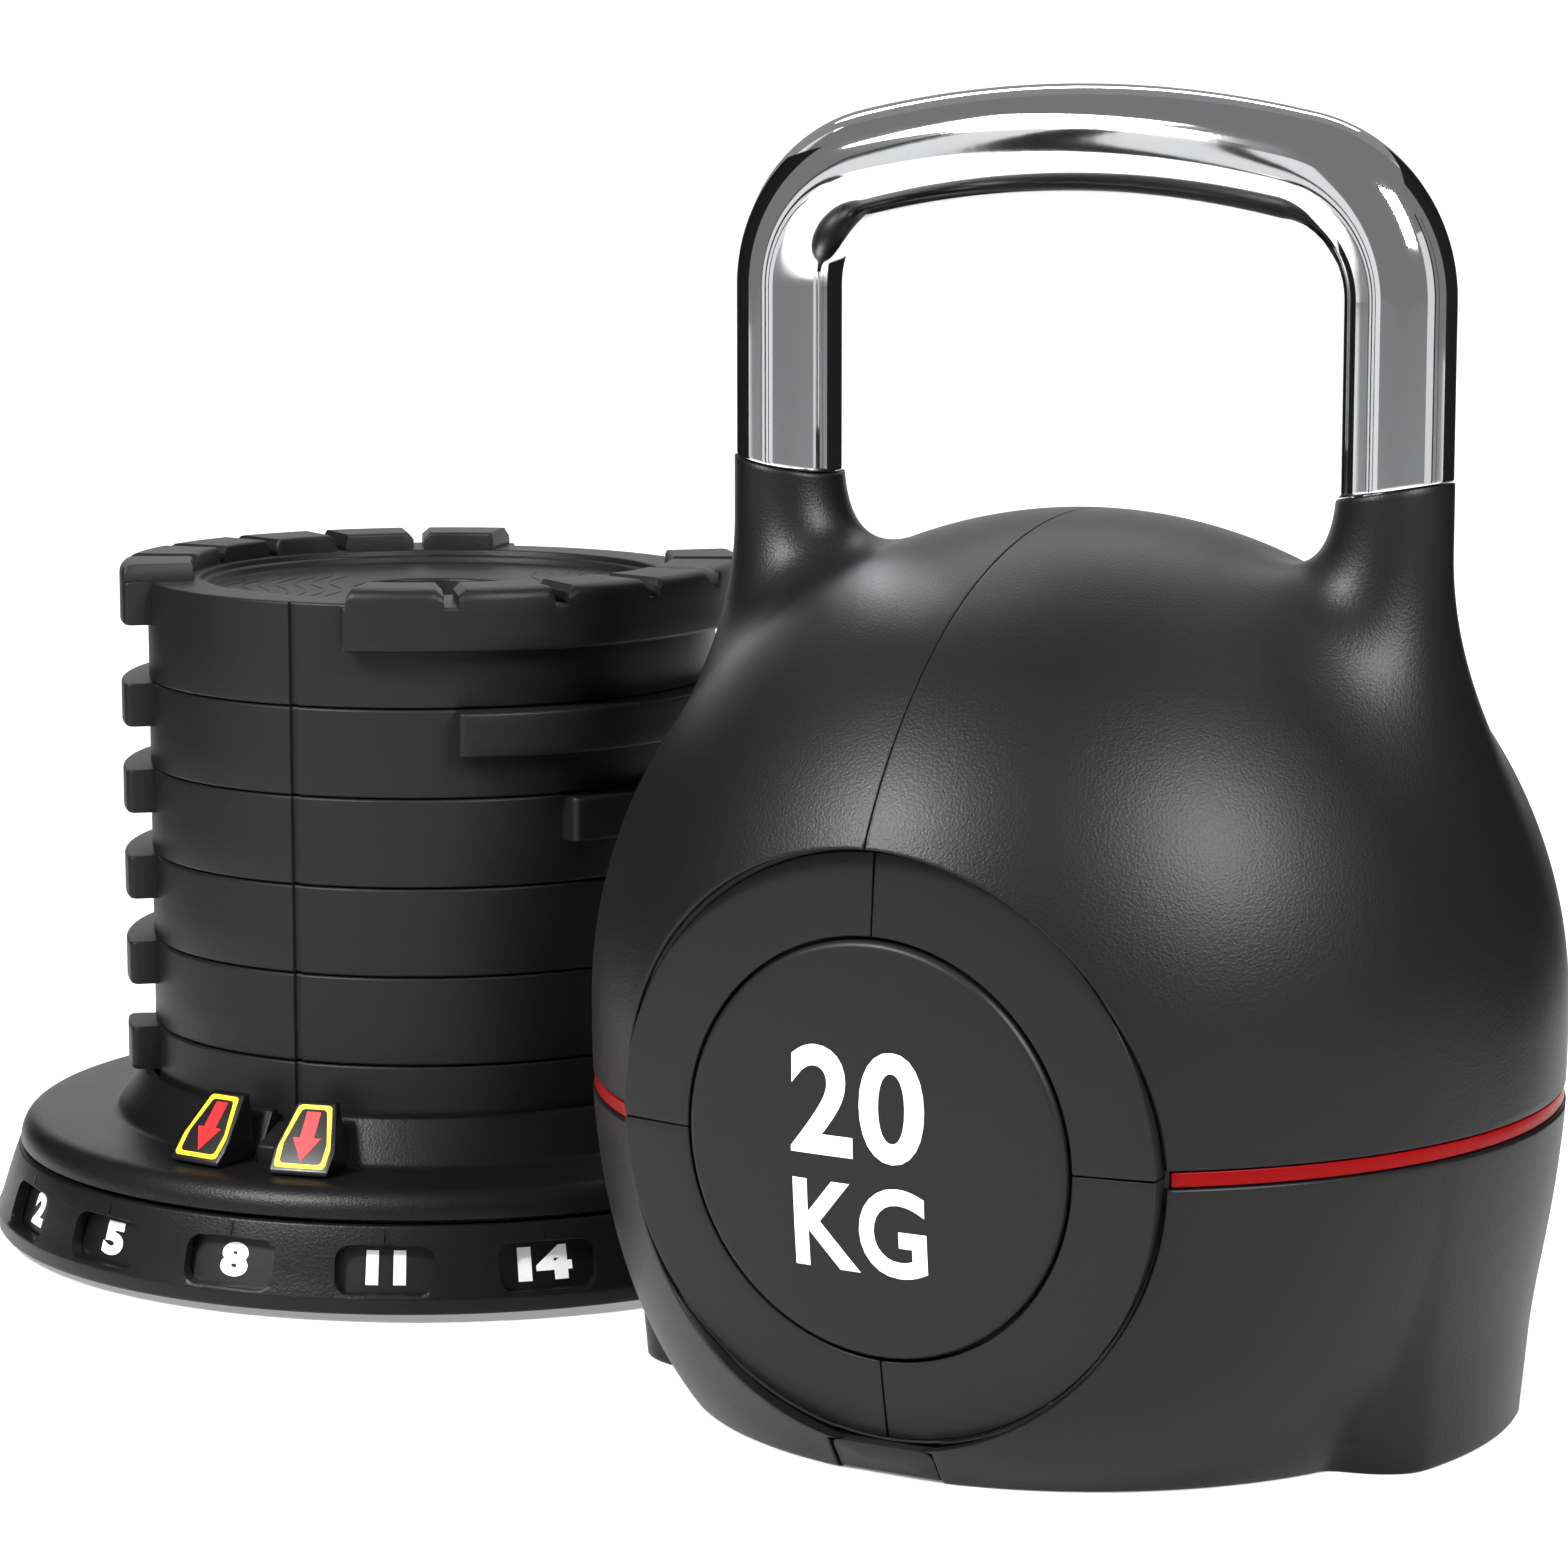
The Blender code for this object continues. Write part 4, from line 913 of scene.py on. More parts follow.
def make_faces():
    """Front and rear: four ring quarters with thin seams, and a badge with a
    rounded edge, all laid on the same crowned disc."""
    face = bpy.context.scene.kettlebell_face
    inner = face.badge + 0.9 * MM
    lip = 0.5 * MM
    ring = np.concatenate([
        arc((face.ring - lip, -lip), lip, 0, math.pi / 2, 4),
        np.linspace((face.ring - 3 * MM, 0.0), (inner + 3 * MM, 0.0), 4),
        arc((inner + lip, -lip), lip, math.pi / 2, math.pi, 4),
        [(inner, -face.plate), (face.ring - face.skirt_wall, -face.plate),
         (face.ring - face.skirt_wall, -face.skirt), (face.ring, -face.skirt)]])
    for place_name, front in (("front", True), ("rear", False)):

        def place(radius, turn, out):
            return on_face(radius * np.sin(turn), radius * np.cos(turn), out, front)

        for k in range(4):
            gap = 0.2 * MM / inner
            start = k * math.pi / 2 + gap
            part = swept(ring, start, start + math.pi / 2 - 2 * gap, 44, 0.22 * MM, place)
            name = "%s_ring_%d" % (place_name, k + 1)
            add_piece(name + "_fine", mesh_from(name + "_fine", [part]), finish_of("satin_abs"),
                      "kettlebell", (name,))
        lip = 1.6 * MM
        rise = face.badge_rise
        rim = arc((face.badge - lip, rise - lip), lip, 0, math.pi / 2, 8)
        outline = np.concatenate([[(0, -face.plate), (face.badge - MM, -face.plate),
                                   (face.badge, MM - face.plate)], rim,
                                  [(face.badge * share, rise) for share in (0.93, 0.8, 0.6, 0.4, 0.2)],
                                  [(0, rise)]])
        turn = 2 * math.pi * np.arange(160) / 160
        points = place(outline[:, 0][:, None] * np.ones(160), turn[None, :] * np.ones((len(outline), 1)),
                       outline[:, 1][:, None] * np.ones(160))
        name = place_name + "_badge"
        mesh = mesh_from(name + "_fine", [(points, grid_quads(len(outline), 160, False, True))])
        add_piece(name + "_fine", mesh, finish_of("satin_abs"), "kettlebell", (name,))


def make_gap_shades():
    """Painted shade behind the gaps: dark pieces in the rubber finish that stand in for the
    shade there and stop light coming through the hollow body.  Round each ring a strip follows
    the opening's edge, sunk under the body's surface and the ring's front, with a flange behind
    the shell's wall; behind each badge's gap lies a flat dark ring."""
    face = bpy.context.scene.kettlebell_face
    count = 240
    turn = 2 * math.pi * np.arange(count) / count
    rim = opening_rim(turn)
    depth = -rim[:, 1] - (face.distance + (rim[:, 2] - face.height) * math.tan(face.tilt))
    crown = face.crown - (face.ring ** 2) / (2 * face.dome)
    top = np.minimum(depth - 1.6 * MM, crown - 0.8 * MM)
    over_tab = np.clip((16 * MM - np.abs(rim[:, 0])) / (2 * MM), 0, 1) * (rim[:, 2] < face.height)
    top = top + 0.5 * MM * over_tab
    outer = opening_radius() - 0.1 * MM - 0.5 * MM * over_tab
    inner = np.full(count, face.ring + 0.06 * MM)
    flange = np.minimum(depth - 8 * MM, -5.4 * MM)
    brim = np.full(count, opening_radius() + face.brim)
    for name, side in (("front", 1), ("rear", -1)):
        rows = []
        for radius, out in ((inner, top), (outer, top), (outer, flange), (brim, flange),
                            (brim, flange - 1.2 * MM), (inner, flange - 1.2 * MM)):
            across = radius * np.sin(turn)
            up = -radius * np.cos(turn)
            away = face.distance + out * math.cos(face.tilt) + up * math.sin(face.tilt)
            z = face.height + up * math.cos(face.tilt) - out * math.sin(face.tilt)
            rows.append(on_kettlebell(np.stack([side * across, -side * away, z], axis=-1)))
        # Strip round the ring in the rubber finish: painted shade in the ring's gap.
        mesh = mesh_from(name + "_gasket", [(np.stack(rows), grid_quads(6, count, True, True))])
        add_piece(mesh.name, mesh, finish_of("rubber"), "kettlebell")
        front = face.plate + 0.3 * MM
        badge_shade_section = rounded_box_section((face.badge - 5 * MM, -front - 1.9 * MM),
                                     (face.ring - face.skirt_wall - 0.2 * MM, -front), 0.3 * MM)

        def place(radius, turn, out):
            return on_face(radius * np.sin(turn), radius * np.cos(turn), out + 0 * turn, side > 0)

        # Flat ring behind the badge in the rubber finish: painted shade in the badge's gap.
        badge_shade = mesh_from(name + "_backing", [revolved(badge_shade_section, 160, place)])
        add_piece(badge_shade.name, badge_shade, finish_of("rubber"), "kettlebell")


def make_pointer():
    """The tab under the front ring: a plate that follows the body's curve, with
    rounded corners."""
    low, high = box_of("front_pointer")
    half = form().notch - 0.6 * MM
    foot = low[2]
    top = high[2]
    outline = rounded_outline([(-half, foot), (half, foot), (half, top), (-half, top)],
                              (0.4 * MM, 0.4 * MM, 2.2 * MM, 2.2 * MM), 5)
    rows = []
    for inset, out in ((0.0, -6.0), (0.0, -0.5), (0.15, -0.15), (0.5, 0.0), (4.0, 0.0)):
        ring = outline * (1 - inset * MM / half, 1) if inset < 1 else outline * (0.4, 1)
        middle = (foot + top) / 2
        height = middle + (ring[:, 1] - middle) * (1 - 2 * inset * MM / (top - foot))
        reach = np.sqrt(body_radius(np.clip(height, 0, 1)) ** 2 - ring[:, 0] ** 2) - 0.7 * MM
        rows.append(np.stack([ring[:, 0], -(reach + out * MM), height], axis=-1))
    points = np.stack(rows)
    mesh = mesh_from("front_pointer_fine", [(on_kettlebell(points), tube_faces(points))])
    add_piece("front_pointer_fine", mesh, finish_of("satin_abs"), "kettlebell",
              ("front_pointer",))


# ---- handle ----

def handle_line(step=1.2 * MM):
    """Half of the bar's centre line from mid span: an arch of wide radius, a bend
    tangent to it and to the leg, then the leg; as (x, z, direction)."""
    bar = bpy.context.scene.kettlebell_handle
    leg = bar.spacing / 2
    centre_z = bar.top - bar.arch
    reach = leg - bar.bend
    span = math.asin(reach / (bar.arch - bar.bend))
    over = np.linspace(0, span, int(bar.arch * span / step))
    first = np.stack([bar.arch * np.sin(over), centre_z + bar.arch * np.cos(over), over], axis=-1)
    bend_z = centre_z + (bar.arch - bar.bend) * math.cos(span)
    turn = np.linspace(span, math.pi / 2, int(bar.bend * (math.pi / 2 - span) / step * 1.6))[1:]
    second = np.stack([reach + bar.bend * np.sin(turn), bend_z + bar.bend * np.cos(turn), turn],
                      axis=-1)
    return np.concatenate([first, second])


def make_handle():
    """The bar: a circle carried along its line, cut to the neck's slope at each end,
    with a narrow rounded shoulder and a thinner stub going down into the neck."""
    bar = bpy.context.scene.kettlebell_handle
    shape = form()
    leg = bar.spacing / 2
    sides = 96
    around = 2 * math.pi * np.arange(sides) / sides
    line = handle_line()
    seat = shape.collar + bar.seam
    rings = []
    for x, z, direction in line:
        out = bar.radius * np.cos(around)
        rings.append(np.stack([x + out * math.sin(direction), bar.radius * np.sin(around),
                               z + out * math.cos(direction)], axis=-1))
    lip = 0.5 * MM
    leg_rings = [(bar.radius, 16 * MM, 0.3), (bar.radius, 8 * MM, 0.8), (bar.radius, 3 * MM, 1.0),
                 (bar.radius, 1.2 * MM, 1.0), (bar.radius, lip, 1.0)]
    for turn in (0.35, 0.75, 1.15, math.pi / 2):
        leg_rings.append((bar.radius - lip * (1 - math.cos(turn)), lip * (1 - math.sin(turn)), 1.0))
    leg_rings += [(bar.stub, 0.0, 1.0), (bar.stub, -12 * MM, 0.3), (bar.stub, HANDLE_FOOT - seat, 0.0)]
    for radius, lift, lean in leg_rings:
        out = radius * np.cos(around)
        rings.append(np.stack([leg + out, radius * np.sin(around),
                               seat + lift + lean * shape.collar_slope * out], axis=-1))
    half = np.stack(rings)
    other = half[:0:-1] * (-1, 1, 1)
    points = np.concatenate([other, half])
    mesh = mesh_from("handle_fine", [(on_kettlebell(points), tube_faces(points))], sharp=math.radians(40))
    add_piece("handle_fine", mesh, finish_of("chrome"), "kettlebell", ("handle",))


# ---- printed marks ----

def printed(text, size, place, height, pitch, bold, spacing=0.97):
    """Printed text as a thin closed body: the letters are laid flat at a wanted
    (width, height), cut into strips no wider than pitch so that they can bend,
    thickened downward, and mapped by place(across, up, out)."""
    curve = bpy.data.curves.new("letters", "FONT")
    curve.body = text
    curve.offset = bold
    curve.resolution_u = 6
    curve.space_character = spacing
    holder = bpy.data.objects.new("letters", curve)
    bpy.context.scene.collection.objects.link(holder)
    graph = bpy.context.evaluated_depsgraph_get()
    mesh = bpy.data.meshes.new_from_object(holder.evaluated_get(graph))
    bpy.data.objects.remove(holder, do_unlink=True)
    bpy.data.curves.remove(curve)
    return fitted(mesh, size, place, height, pitch)


def fitted(mesh, size, place, height, pitch):
    """A flat mesh scaled to a size about its middle, cut in strips and thickened."""
    flat = np.empty(len(mesh.vertices) * 3)
    mesh.vertices.foreach_get("co", flat)
    flat = flat.reshape(-1, 3)
    low = flat.min(axis=0)
    high = flat.max(axis=0)
    flat = (flat - (low + high) / 2) * (size[0] / (high[0] - low[0]), size[1] / (high[1] - low[1]), 0)
    mesh.vertices.foreach_set("co", flat.ravel())
    work = bmesh.new()
    work.from_mesh(mesh)
    bmesh.ops.remove_doubles(work, verts=work.verts, dist=1e-5 * size[1])
    for axis in range(2):
        for at in np.arange(-size[axis] / 2 + pitch, size[axis] / 2, pitch):
            normal = [0, 0, 0]
            normal[axis] = 1
            middle = [0, 0, 0]
            middle[axis] = float(at)
            bmesh.ops.bisect_plane(work, geom=[*work.verts, *work.edges, *work.faces],
                                   plane_co=middle, plane_no=normal)
    grown = bmesh.ops.extrude_face_region(work, geom=list(work.faces), use_keep_orig=True)
    tops = [item for item in grown["geom"] if isinstance(item, bmesh.types.BMVert)]
    bmesh.ops.translate(work, verts=tops, vec=(0, 0, 1))
    bmesh.ops.recalc_face_normals(work, faces=work.faces)
    work.to_mesh(mesh)
    work.free()
    flat = np.empty(len(mesh.vertices) * 3)
    mesh.vertices.foreach_get("co", flat)
    flat = flat.reshape(-1, 3)
    out = np.where(flat[:, 2] > 0.5, height, -0.3 * MM)
    mesh.vertices.foreach_set("co", np.ascontiguousarray(place(flat[:, 0], flat[:, 1], out)).ravel())
    mesh.update()
    mesh.shade_smooth()
    mesh.set_sharp_from_angle(angle=math.radians(30))
    return mesh


def make_badge_print():
    """The weight and its unit in heavy letters on the front badge."""
    face = bpy.context.scene.kettlebell_face
    marks = bpy.context.scene.kettlebell_print
    lines = (("weight_mark", marks.weight, (37.5 * MM, 27.9 * MM), 12.2 * MM),
             ("unit_mark", marks.unit_mark, (37.1 * MM, 22.9 * MM), -19.2 * MM))
    for name, text, size, up in lines:

        def place(across, over, out):
            return on_face(across - 2.9 * MM, over + up, out + face.badge_rise, True)

        mesh = printed(text, size, place, 0.15 * MM, 3 * MM, marks.boldness * 0.7, 1.07)
        mesh.name = name
        add_piece(name, mesh, finish_of("white_print"), "kettlebell")


# ---- plates ----

def lug_columns(first, last, reach, corner, radius):
    """Columns over a lug's two ends: (angle, share) from 0 on the plain wall to 1
    on the lug.  An end is upright and its outer edge follows a quarter circle."""
    turn = np.linspace(0, math.pi / 2, 5)
    share = 1 - corner * (1 - np.sin(turn)) / reach
    back = corner * (1 - np.cos(turn)) / radius
    rise = [(first - 1e-4, 0.0)] + list(zip(first + back, share))
    fall = list(zip(last - back[::-1], share[::-1])) + [(last + 1e-4, 0.0)]
    return rise, fall


def plate_columns(index):
    """Angle, lug share, crown share and groove share of every column of a plate."""
    stack = bpy.context.scene.kettlebell_stack
    start = stack.first + (index - 1) * stack.step
    reach = stack.lug - stack.plate
    rise, fall = lug_columns(start, stack.end, reach, stack.corner, stack.lug)
    columns = []
    slots = []
    width = (stack.end - stack.first) / stack.teeth
    chamfer = 2.2 * MM / stack.plate
    for half in (0.0, math.pi):
        columns += [(turn + half, share, 0.0, 0.0) for turn, share in rise + fall]
        slots += [stack.first + k * width + half for k in range(stack.teeth + 1)] if index == 1 else []
    for k, middle in enumerate(slots):
        edge = stack.slot / 2
        outer = [(middle - edge - chamfer, 1.0), (middle - edge - 2e-4, 0.6), (middle - edge, 0.0)]
        inner = [(middle + edge, 0.0), (middle + edge + 2e-4, 0.6), (middle + edge + chamfer, 1.0)]
        place = k % (stack.teeth + 1)
        if place > 0:
            columns += [(turn, 1.0, crown, 0.0) for turn, crown in outer]
        if place < stack.teeth:
            columns += [(turn, 1.0, crown, 0.0) for turn, crown in inner]
    half_groove = stack.groove_width / 2 / stack.plate
    for side in (-1, 1):
        pair = [(stack.groove + side * half_groove, 0.0, 0.0, 0.0),
                (stack.groove + side * (half_groove - 0.004), 0.0, 0.0, 1.0)]
        columns += pair
    taken = np.array([column[0] for column in columns])
    steps = np.radians(np.arange(0, 360, 1.5))
    away = np.abs((steps[:, None] - taken[None, :] + math.pi) % (2 * math.pi) - math.pi).min(axis=1)
    for turn in steps[away > 0.008]:
        inside = (turn - start) % math.pi < stack.end - start
        near = [abs((turn - middle + math.pi) % (2 * math.pi) - math.pi) for middle in slots]
        on_tooth = inside and index == 1 and min(near) > stack.slot / 2
        grooved = abs((turn - stack.groove + math.pi) % (2 * math.pi) - math.pi) < half_groove
        columns.append((turn, float(inside), float(on_tooth), float(grooved)))
    columns = np.array(columns)
    order = np.argsort((columns[:, 0] - stack.groove + 0.5) % (2 * math.pi), kind="stable")
    return columns[order]


def plate_rows(index, low, high):
    """Three outlines of a plate in step with each other, as (rows, 3, 2): the plain
    wall, the wall with a lug, and the lug with a crown tooth; and a groove flag."""
    stack = bpy.context.scene.kettlebell_stack
    radius = stack.plate
    edge = stack.edge
    seat = high - stack.lug_height
    rows = []

    def add(plain, lug=None, crown=None, wall=False):
        lug = lug if lug is not None else plain
        rows.append((plain, lug, crown if crown is not None else lug, wall))

    add((stack.bore + 0.5 * MM, low))
    add((radius - 4 * MM, low))
    for point in arc((radius - edge, low + edge), edge, -math.pi / 2, 0, 3):
        add(tuple(point), wall=True)
    add((radius, seat - 1 * MM), wall=True)
    add((radius, seat), wall=True)
    under = arc((stack.lug - 1.2 * MM, seat + 1.2 * MM), 1.2 * MM, -math.pi / 2, 0, 4)
    over = arc((stack.lug - 1 * MM, high - 1 * MM), 1 * MM, 0, math.pi / 2, 5)
    bevel = 3.2 * MM
    top = high + stack.crown
    crowned = arc((stack.lug - bevel, top - bevel), bevel, 0, math.pi / 2, 5)
    wall = np.linspace(seat + 0.4 * MM, high - edge - 0.3 * MM, 7)
    for k, point in enumerate(under):
        add((radius, wall[k]), tuple(point), wall=True)
    for k, share in enumerate((0.35, 0.75)):
        add((radius, wall[5 + k]), (stack.lug, seat + share * stack.lug_height),
            (stack.lug, seat + share * (stack.lug_height + 1.5 * MM)), wall=True)
    rounded = arc((radius - edge, high - edge), edge, 0, math.pi / 2, 5)
    for plain, lug, crown in zip(rounded, over, crowned):
        add(tuple(plain), tuple(lug), tuple(crown), wall=True)
    if index == 1:
        inner = stack.crown_inner
        add((radius - 4 * MM, high), (radius, high), (radius + 1 * MM, top))
        add((inner + 4 * MM, high), None, (inner + 4 * MM, top))
        for k, point in enumerate(arc((inner + 1 * MM, top - 1 * MM), 1 * MM, math.pi / 2, math.pi, 3)):
            add((inner + (1 - k / 4) * MM, high), None, tuple(point))
        add((inner - 0.2 * MM, high))
        floor = high - stack.dish_depth
        lip = 0.7 * MM
        for point in arc((stack.dish + lip, high - lip), lip, math.pi / 2, math.pi, 4):
            add(tuple(point))
        add((stack.dish - 0.3 * MM, high - 1.6 * MM))
        add((stack.dish - 1.5 * MM, high - 1.9 * MM))
        add((stack.dish - 1.9 * MM, high - 2.4 * MM))
        add((stack.dish - 2.2 * MM, floor + 0.5 * MM))
        add((stack.dish - 2.8 * MM, floor))
        for share in (0.8, 0.6, 0.45):
            add((stack.dish * share, floor))
        for point in arc((stack.bore + 1 * MM, floor - 1 * MM), 1 * MM, math.pi / 2, math.pi, 3):
            add(tuple(point))
    else:
        add((radius - 4 * MM, high))
        add((stack.bore + 0.5 * MM, high))
        add((stack.bore, high - 0.5 * MM))
    add((stack.bore, low + 0.5 * MM))
    outlines = np.array([[plain, lug, crown] for plain, lug, crown, _ in rows])
    return outlines, np.array([flag for *_, flag in rows])


def make_plates():
    """Each plate: at every column the outline is blended between the plain wall, the
    lug and the tooth by the column's shares, and drawn in where the groove runs."""
    stack = bpy.context.scene.kettlebell_stack
    for index in range(1, 7):
        name = "plate_%d" % index
        low, high = box_of(name)
        top = high[2] - (stack.crown if index == 1 else 0)
        outlines, wall = plate_rows(index, low[2], top)
        columns = plate_columns(index)
        lug = columns[None, :, 1, None]
        crown = columns[None, :, 2, None]
        section = outlines[:, None, 0] + lug * (outlines[:, None, 1] - outlines[:, None, 0])
        section = section + crown * (outlines[:, None, 2] - outlines[:, None, 1])
        radius = section[..., 0] - 1.1 * MM * wall[:, None] * columns[None, :, 3]
        points = about_stack(radius, columns[None, :, 0], section[..., 1])
        mesh = mesh_from(name + "_fine", [(points, grid_quads(len(outlines), len(columns), True, True))],
                         sharp=math.radians(38))
        add_piece(name + "_fine", mesh, finish_of("plate_skin"), name, (name,))
    make_waves()


def make_waves():
    """The wave mark in the dish: on each side of the bore, thin raised lines that
    run from front to back and swing sideways as a sine that fades at the ends."""
    stack = bpy.context.scene.kettlebell_stack
    floor = box_of("plate_1")[1][2] - stack.crown - stack.dish_depth
    parts = []
    steps = 60
    along = np.linspace(-1, 1, steps)
    section = ((-1, -0.2 * MM), (1, -0.2 * MM), (0.7, 0.16 * MM), (-0.7, 0.16 * MM))
    for side in (-1, 1):
        for k in range(7):
            away = (29 + 5 * k) * MM
            reach = math.sqrt((stack.dish - 5 * MM) ** 2 - away ** 2)
            y = along * min(reach, 40 * MM)
            x = side * (away + 3.2 * MM * np.sin(along * 5.2 + 0.25 * k) * (1 - along ** 2))
            short = stack.bore + 3 * MM - np.hypot(x, y)
            x = x + side * np.maximum(short, 0)
            half = 0.28 * MM * (1 - 0.7 * along ** 8)
            corners = [np.stack([STACK_AXIS[0] + x + across * half, STACK_AXIS[1] + y,
                                 np.full(steps, floor + z)], axis=-1) for across, z in section]
            points = np.stack(corners, axis=1)
            parts.append((points, tube_faces(points)))
    mesh = mesh_from("dish_waves", parts)
    add_piece("dish_waves", mesh, finish_of("satin_abs"), "plate_1")


# ---- dial and turntable ----

def dial_radius(z):
    """Outer radius of the dial ring's slope: linear from its top to its waist."""
    dial = bpy.context.scene.kettlebell_dial
    share = np.clip((dial.top - z) / (dial.top - dial.waist), 0, 1)
    return dial.top_radius + (dial.foot_radius - dial.top_radius) * share


def window_cutter(turn):
    """A rounded rectangle carried inward through the wall, wider over its last
    0.7 mm so that the window's edge is bevelled."""
    dial = bpy.context.scene.kettlebell_dial
    half = (dial.window_width / 2, dial.window_height / 2)
    outline = rounded_outline([(-half[0], -half[1]), (half[0], -half[1]), half, (-half[0], half[1])],
                              dial.window_corner, 7)
    rings = []
    for out, grow in ((9 * MM, 1.2 * MM), (0.0, 0.6 * MM), (-0.6 * MM, 0.0), (-14 * MM, 0.0)):
        across = outline[:, 0] * (1 + grow / half[0])
        z = dial.window_z + outline[:, 1] * (1 + grow / half[1])
        rings.append(place_cut(turn, across, dial_radius(z) + out, z))
    points = np.stack(rings)
    return points, tube_faces(points)


def place_cut(turn, across, depth, z):
    """Point at a distance out along an angle, and across it."""
    return np.stack([STACK_AXIS[0] + depth * math.sin(turn) + across * math.cos(turn),
                     STACK_AXIS[1] - depth * math.cos(turn) + across * math.sin(turn), z], axis=-1)


def upright_box(turn, half_width, inner, outer, heights):
    """A box at an angle about the stack, between an inner and an outer distance:
    the four lower corners, then the four upper ones, at their own heights."""
    across = np.array([-1, 1, 1, -1] * 2) * half_width
    depth = np.array([inner, inner, outer, outer] * 2)
    faces = [(0, 1, 2, 3), (4, 5, 6, 7), (0, 1, 5, 4), (1, 2, 6, 5), (2, 3, 7, 6), (3, 0, 4, 7)]
    return place_cut(turn, across, depth, np.asarray(heights, float)), faces


def tick_cutter(turn):
    """A narrow upright groove from a window to the ring's upper edge."""
    dial = bpy.context.scene.kettlebell_dial
    low = dial.window_z + dial.window_height / 2 + 0.9 * MM
    high = dial.top + 2 * MM
    points, faces = upright_box(turn, 0.28 * MM, -0.6 * MM, 3 * MM, [low] * 4 + [high] * 4)
    outward = np.array([math.sin(turn), -math.cos(turn), 0])
    return points + dial_radius(points[:, 2:]) * outward, faces


def make_dial():
    """Ring with bevelled number windows and ticks, the band behind them, and the
    numbers printed on it."""
    dial = bpy.context.scene.kettlebell_dial
    marks = bpy.context.scene.kettlebell_print
    foot = box_of("dial_ring")[0][2]
    slope = math.atan2(dial.foot_radius - dial.top_radius, dial.top - dial.waist)
    lip = 1.0 * MM
    inner = dial.top_radius - dial.wall
    outline = np.concatenate([
        [(dial.foot_radius - dial.wall, dial.waist), (inner, dial.top)],
        arc((dial.top_radius - lip, dial.top - lip), lip, math.pi / 2, slope, 5),
        [(float(dial_radius(z)), z) for z in (21 * MM, 14.5 * MM, 9 * MM)],
        arc((dial.foot_radius - 2 * MM, dial.waist + 0.5 * MM), 2 * MM, slope, 0, 3),
        arc((dial.foot_radius - lip, foot + lip), lip, 0, -math.pi / 2, 5),
        [(dial.foot_radius - dial.wall, foot)]])
    ring = mesh_from("dial_ring_fine", [revolved(outline, 240, about_stack)])
    turns = [dial.first + k * dial.step for k in range(7)]
    cuts = mesh_from("window_cutters", [window_cutter(turn) for turn in turns] +
                     [tick_cutter(turn) for turn in turns])
    ring = cut_mesh("dial_ring_fine", ring, [cuts])
    add_piece("dial_ring_fine", ring, finish_of("textured_abs"), "dock",
              ("dial_ring",))
    low, high = box_of("number_band")
    depth = dial.wall + 0.4 * MM
    band = np.array([(float(dial_radius(z)) - depth - back, z)
                     for z, back in ((low[2], 1.6 * MM), (low[2], 0.0), (dial.window_z, 0.0),
                                     (high[2], 0.0), (high[2], 1.6 * MM))])
    mesh = mesh_from("number_band_fine", [revolved(band, 240, about_stack)])
    add_piece("number_band_fine", mesh, finish_of("number_field"), "dock",
              ("number_band",))
    for k, turn in enumerate(turns):
        text = str(marks.lightest + k * marks.interval)
        width = (8.6 if len(text) == 1 else 11.2 if text == "11" else 15.6) * MM

        def place(across, up, out):
            z = dial.window_z + up
            radius = dial_radius(z) - depth + out
            return about_stack(radius, turn + across / dial.top_radius, z)

        mesh = printed(text, (width, dial.digits), place, 0.12 * MM, 2 * MM, marks.boldness * 1.9)
        mesh.name = "number_%s" % text
        add_piece(mesh.name, mesh, finish_of("white_print"), "dock")


def make_turntable():
    """The turning disc: rounded outer edge, flat top, a fillet up to the leaning
    collar with a rounded rim; notched for the lock key."""
    dial = bpy.context.scene.kettlebell_dial
    table = bpy.context.scene.kettlebell_table
    foot, rim = (corner[2] for corner in box_of("turntable"))
    top = foot + table.height
    bevel, lip, inner_lip = 0.4 * MM, 1.1 * MM, 0.5 * MM
    turn = np.linspace(0, math.pi / 2, 9)
    rounded = np.stack([table.radius - table.edge + table.edge * np.cos(turn),
                        foot + bevel + (top - foot - bevel) * np.sin(turn)], axis=-1)
    fillet = arc((98.2 * MM, top + table.fillet), table.fillet, -math.pi / 2, -math.pi / 2 - 1.12, 6)
    shoulder = arc((table.collar_rim - lip, rim - lip), lip, 0.43, math.pi / 2, 5)
    outline = np.concatenate([[(table.bore, foot), (table.radius - bevel, foot)], rounded,
                              [(108 * MM, top)], fillet, shoulder,
                              arc((table.bore + inner_lip, rim - inner_lip), inner_lip,
                                  math.pi / 2, math.pi, 3)])
    disc = mesh_from("turntable_fine", [revolved(outline, 240, about_stack)])
    notch = mesh_from("notch_cutter", [upright_box(dial.mark, 4.2 * MM, table.bore - MM, 98.4 * MM,
                                                   [foot - 5 * MM] * 4 + [rim + 5 * MM] * 4)])
    disc = cut_mesh("turntable_fine", disc, [notch])
    add_piece("turntable_fine", disc, finish_of("textured_abs"), "turntable",
              ("turntable",))


def softened(mesh, width, segments=3):
    """Round every crisp edge of a mesh."""
    work = bmesh.new()
    work.from_mesh(mesh)
    edges = [edge for edge in work.edges if edge.is_manifold and edge.calc_face_angle() > 0.3]
    bmesh.ops.bevel(work, geom=edges, offset=width, segments=segments, profile=0.5, affect="EDGES",
                    clamp_overlap=True)
    work.to_mesh(mesh)
    work.free()
    mesh.shade_smooth()
    mesh.set_sharp_from_angle(angle=math.radians(40))
    return mesh


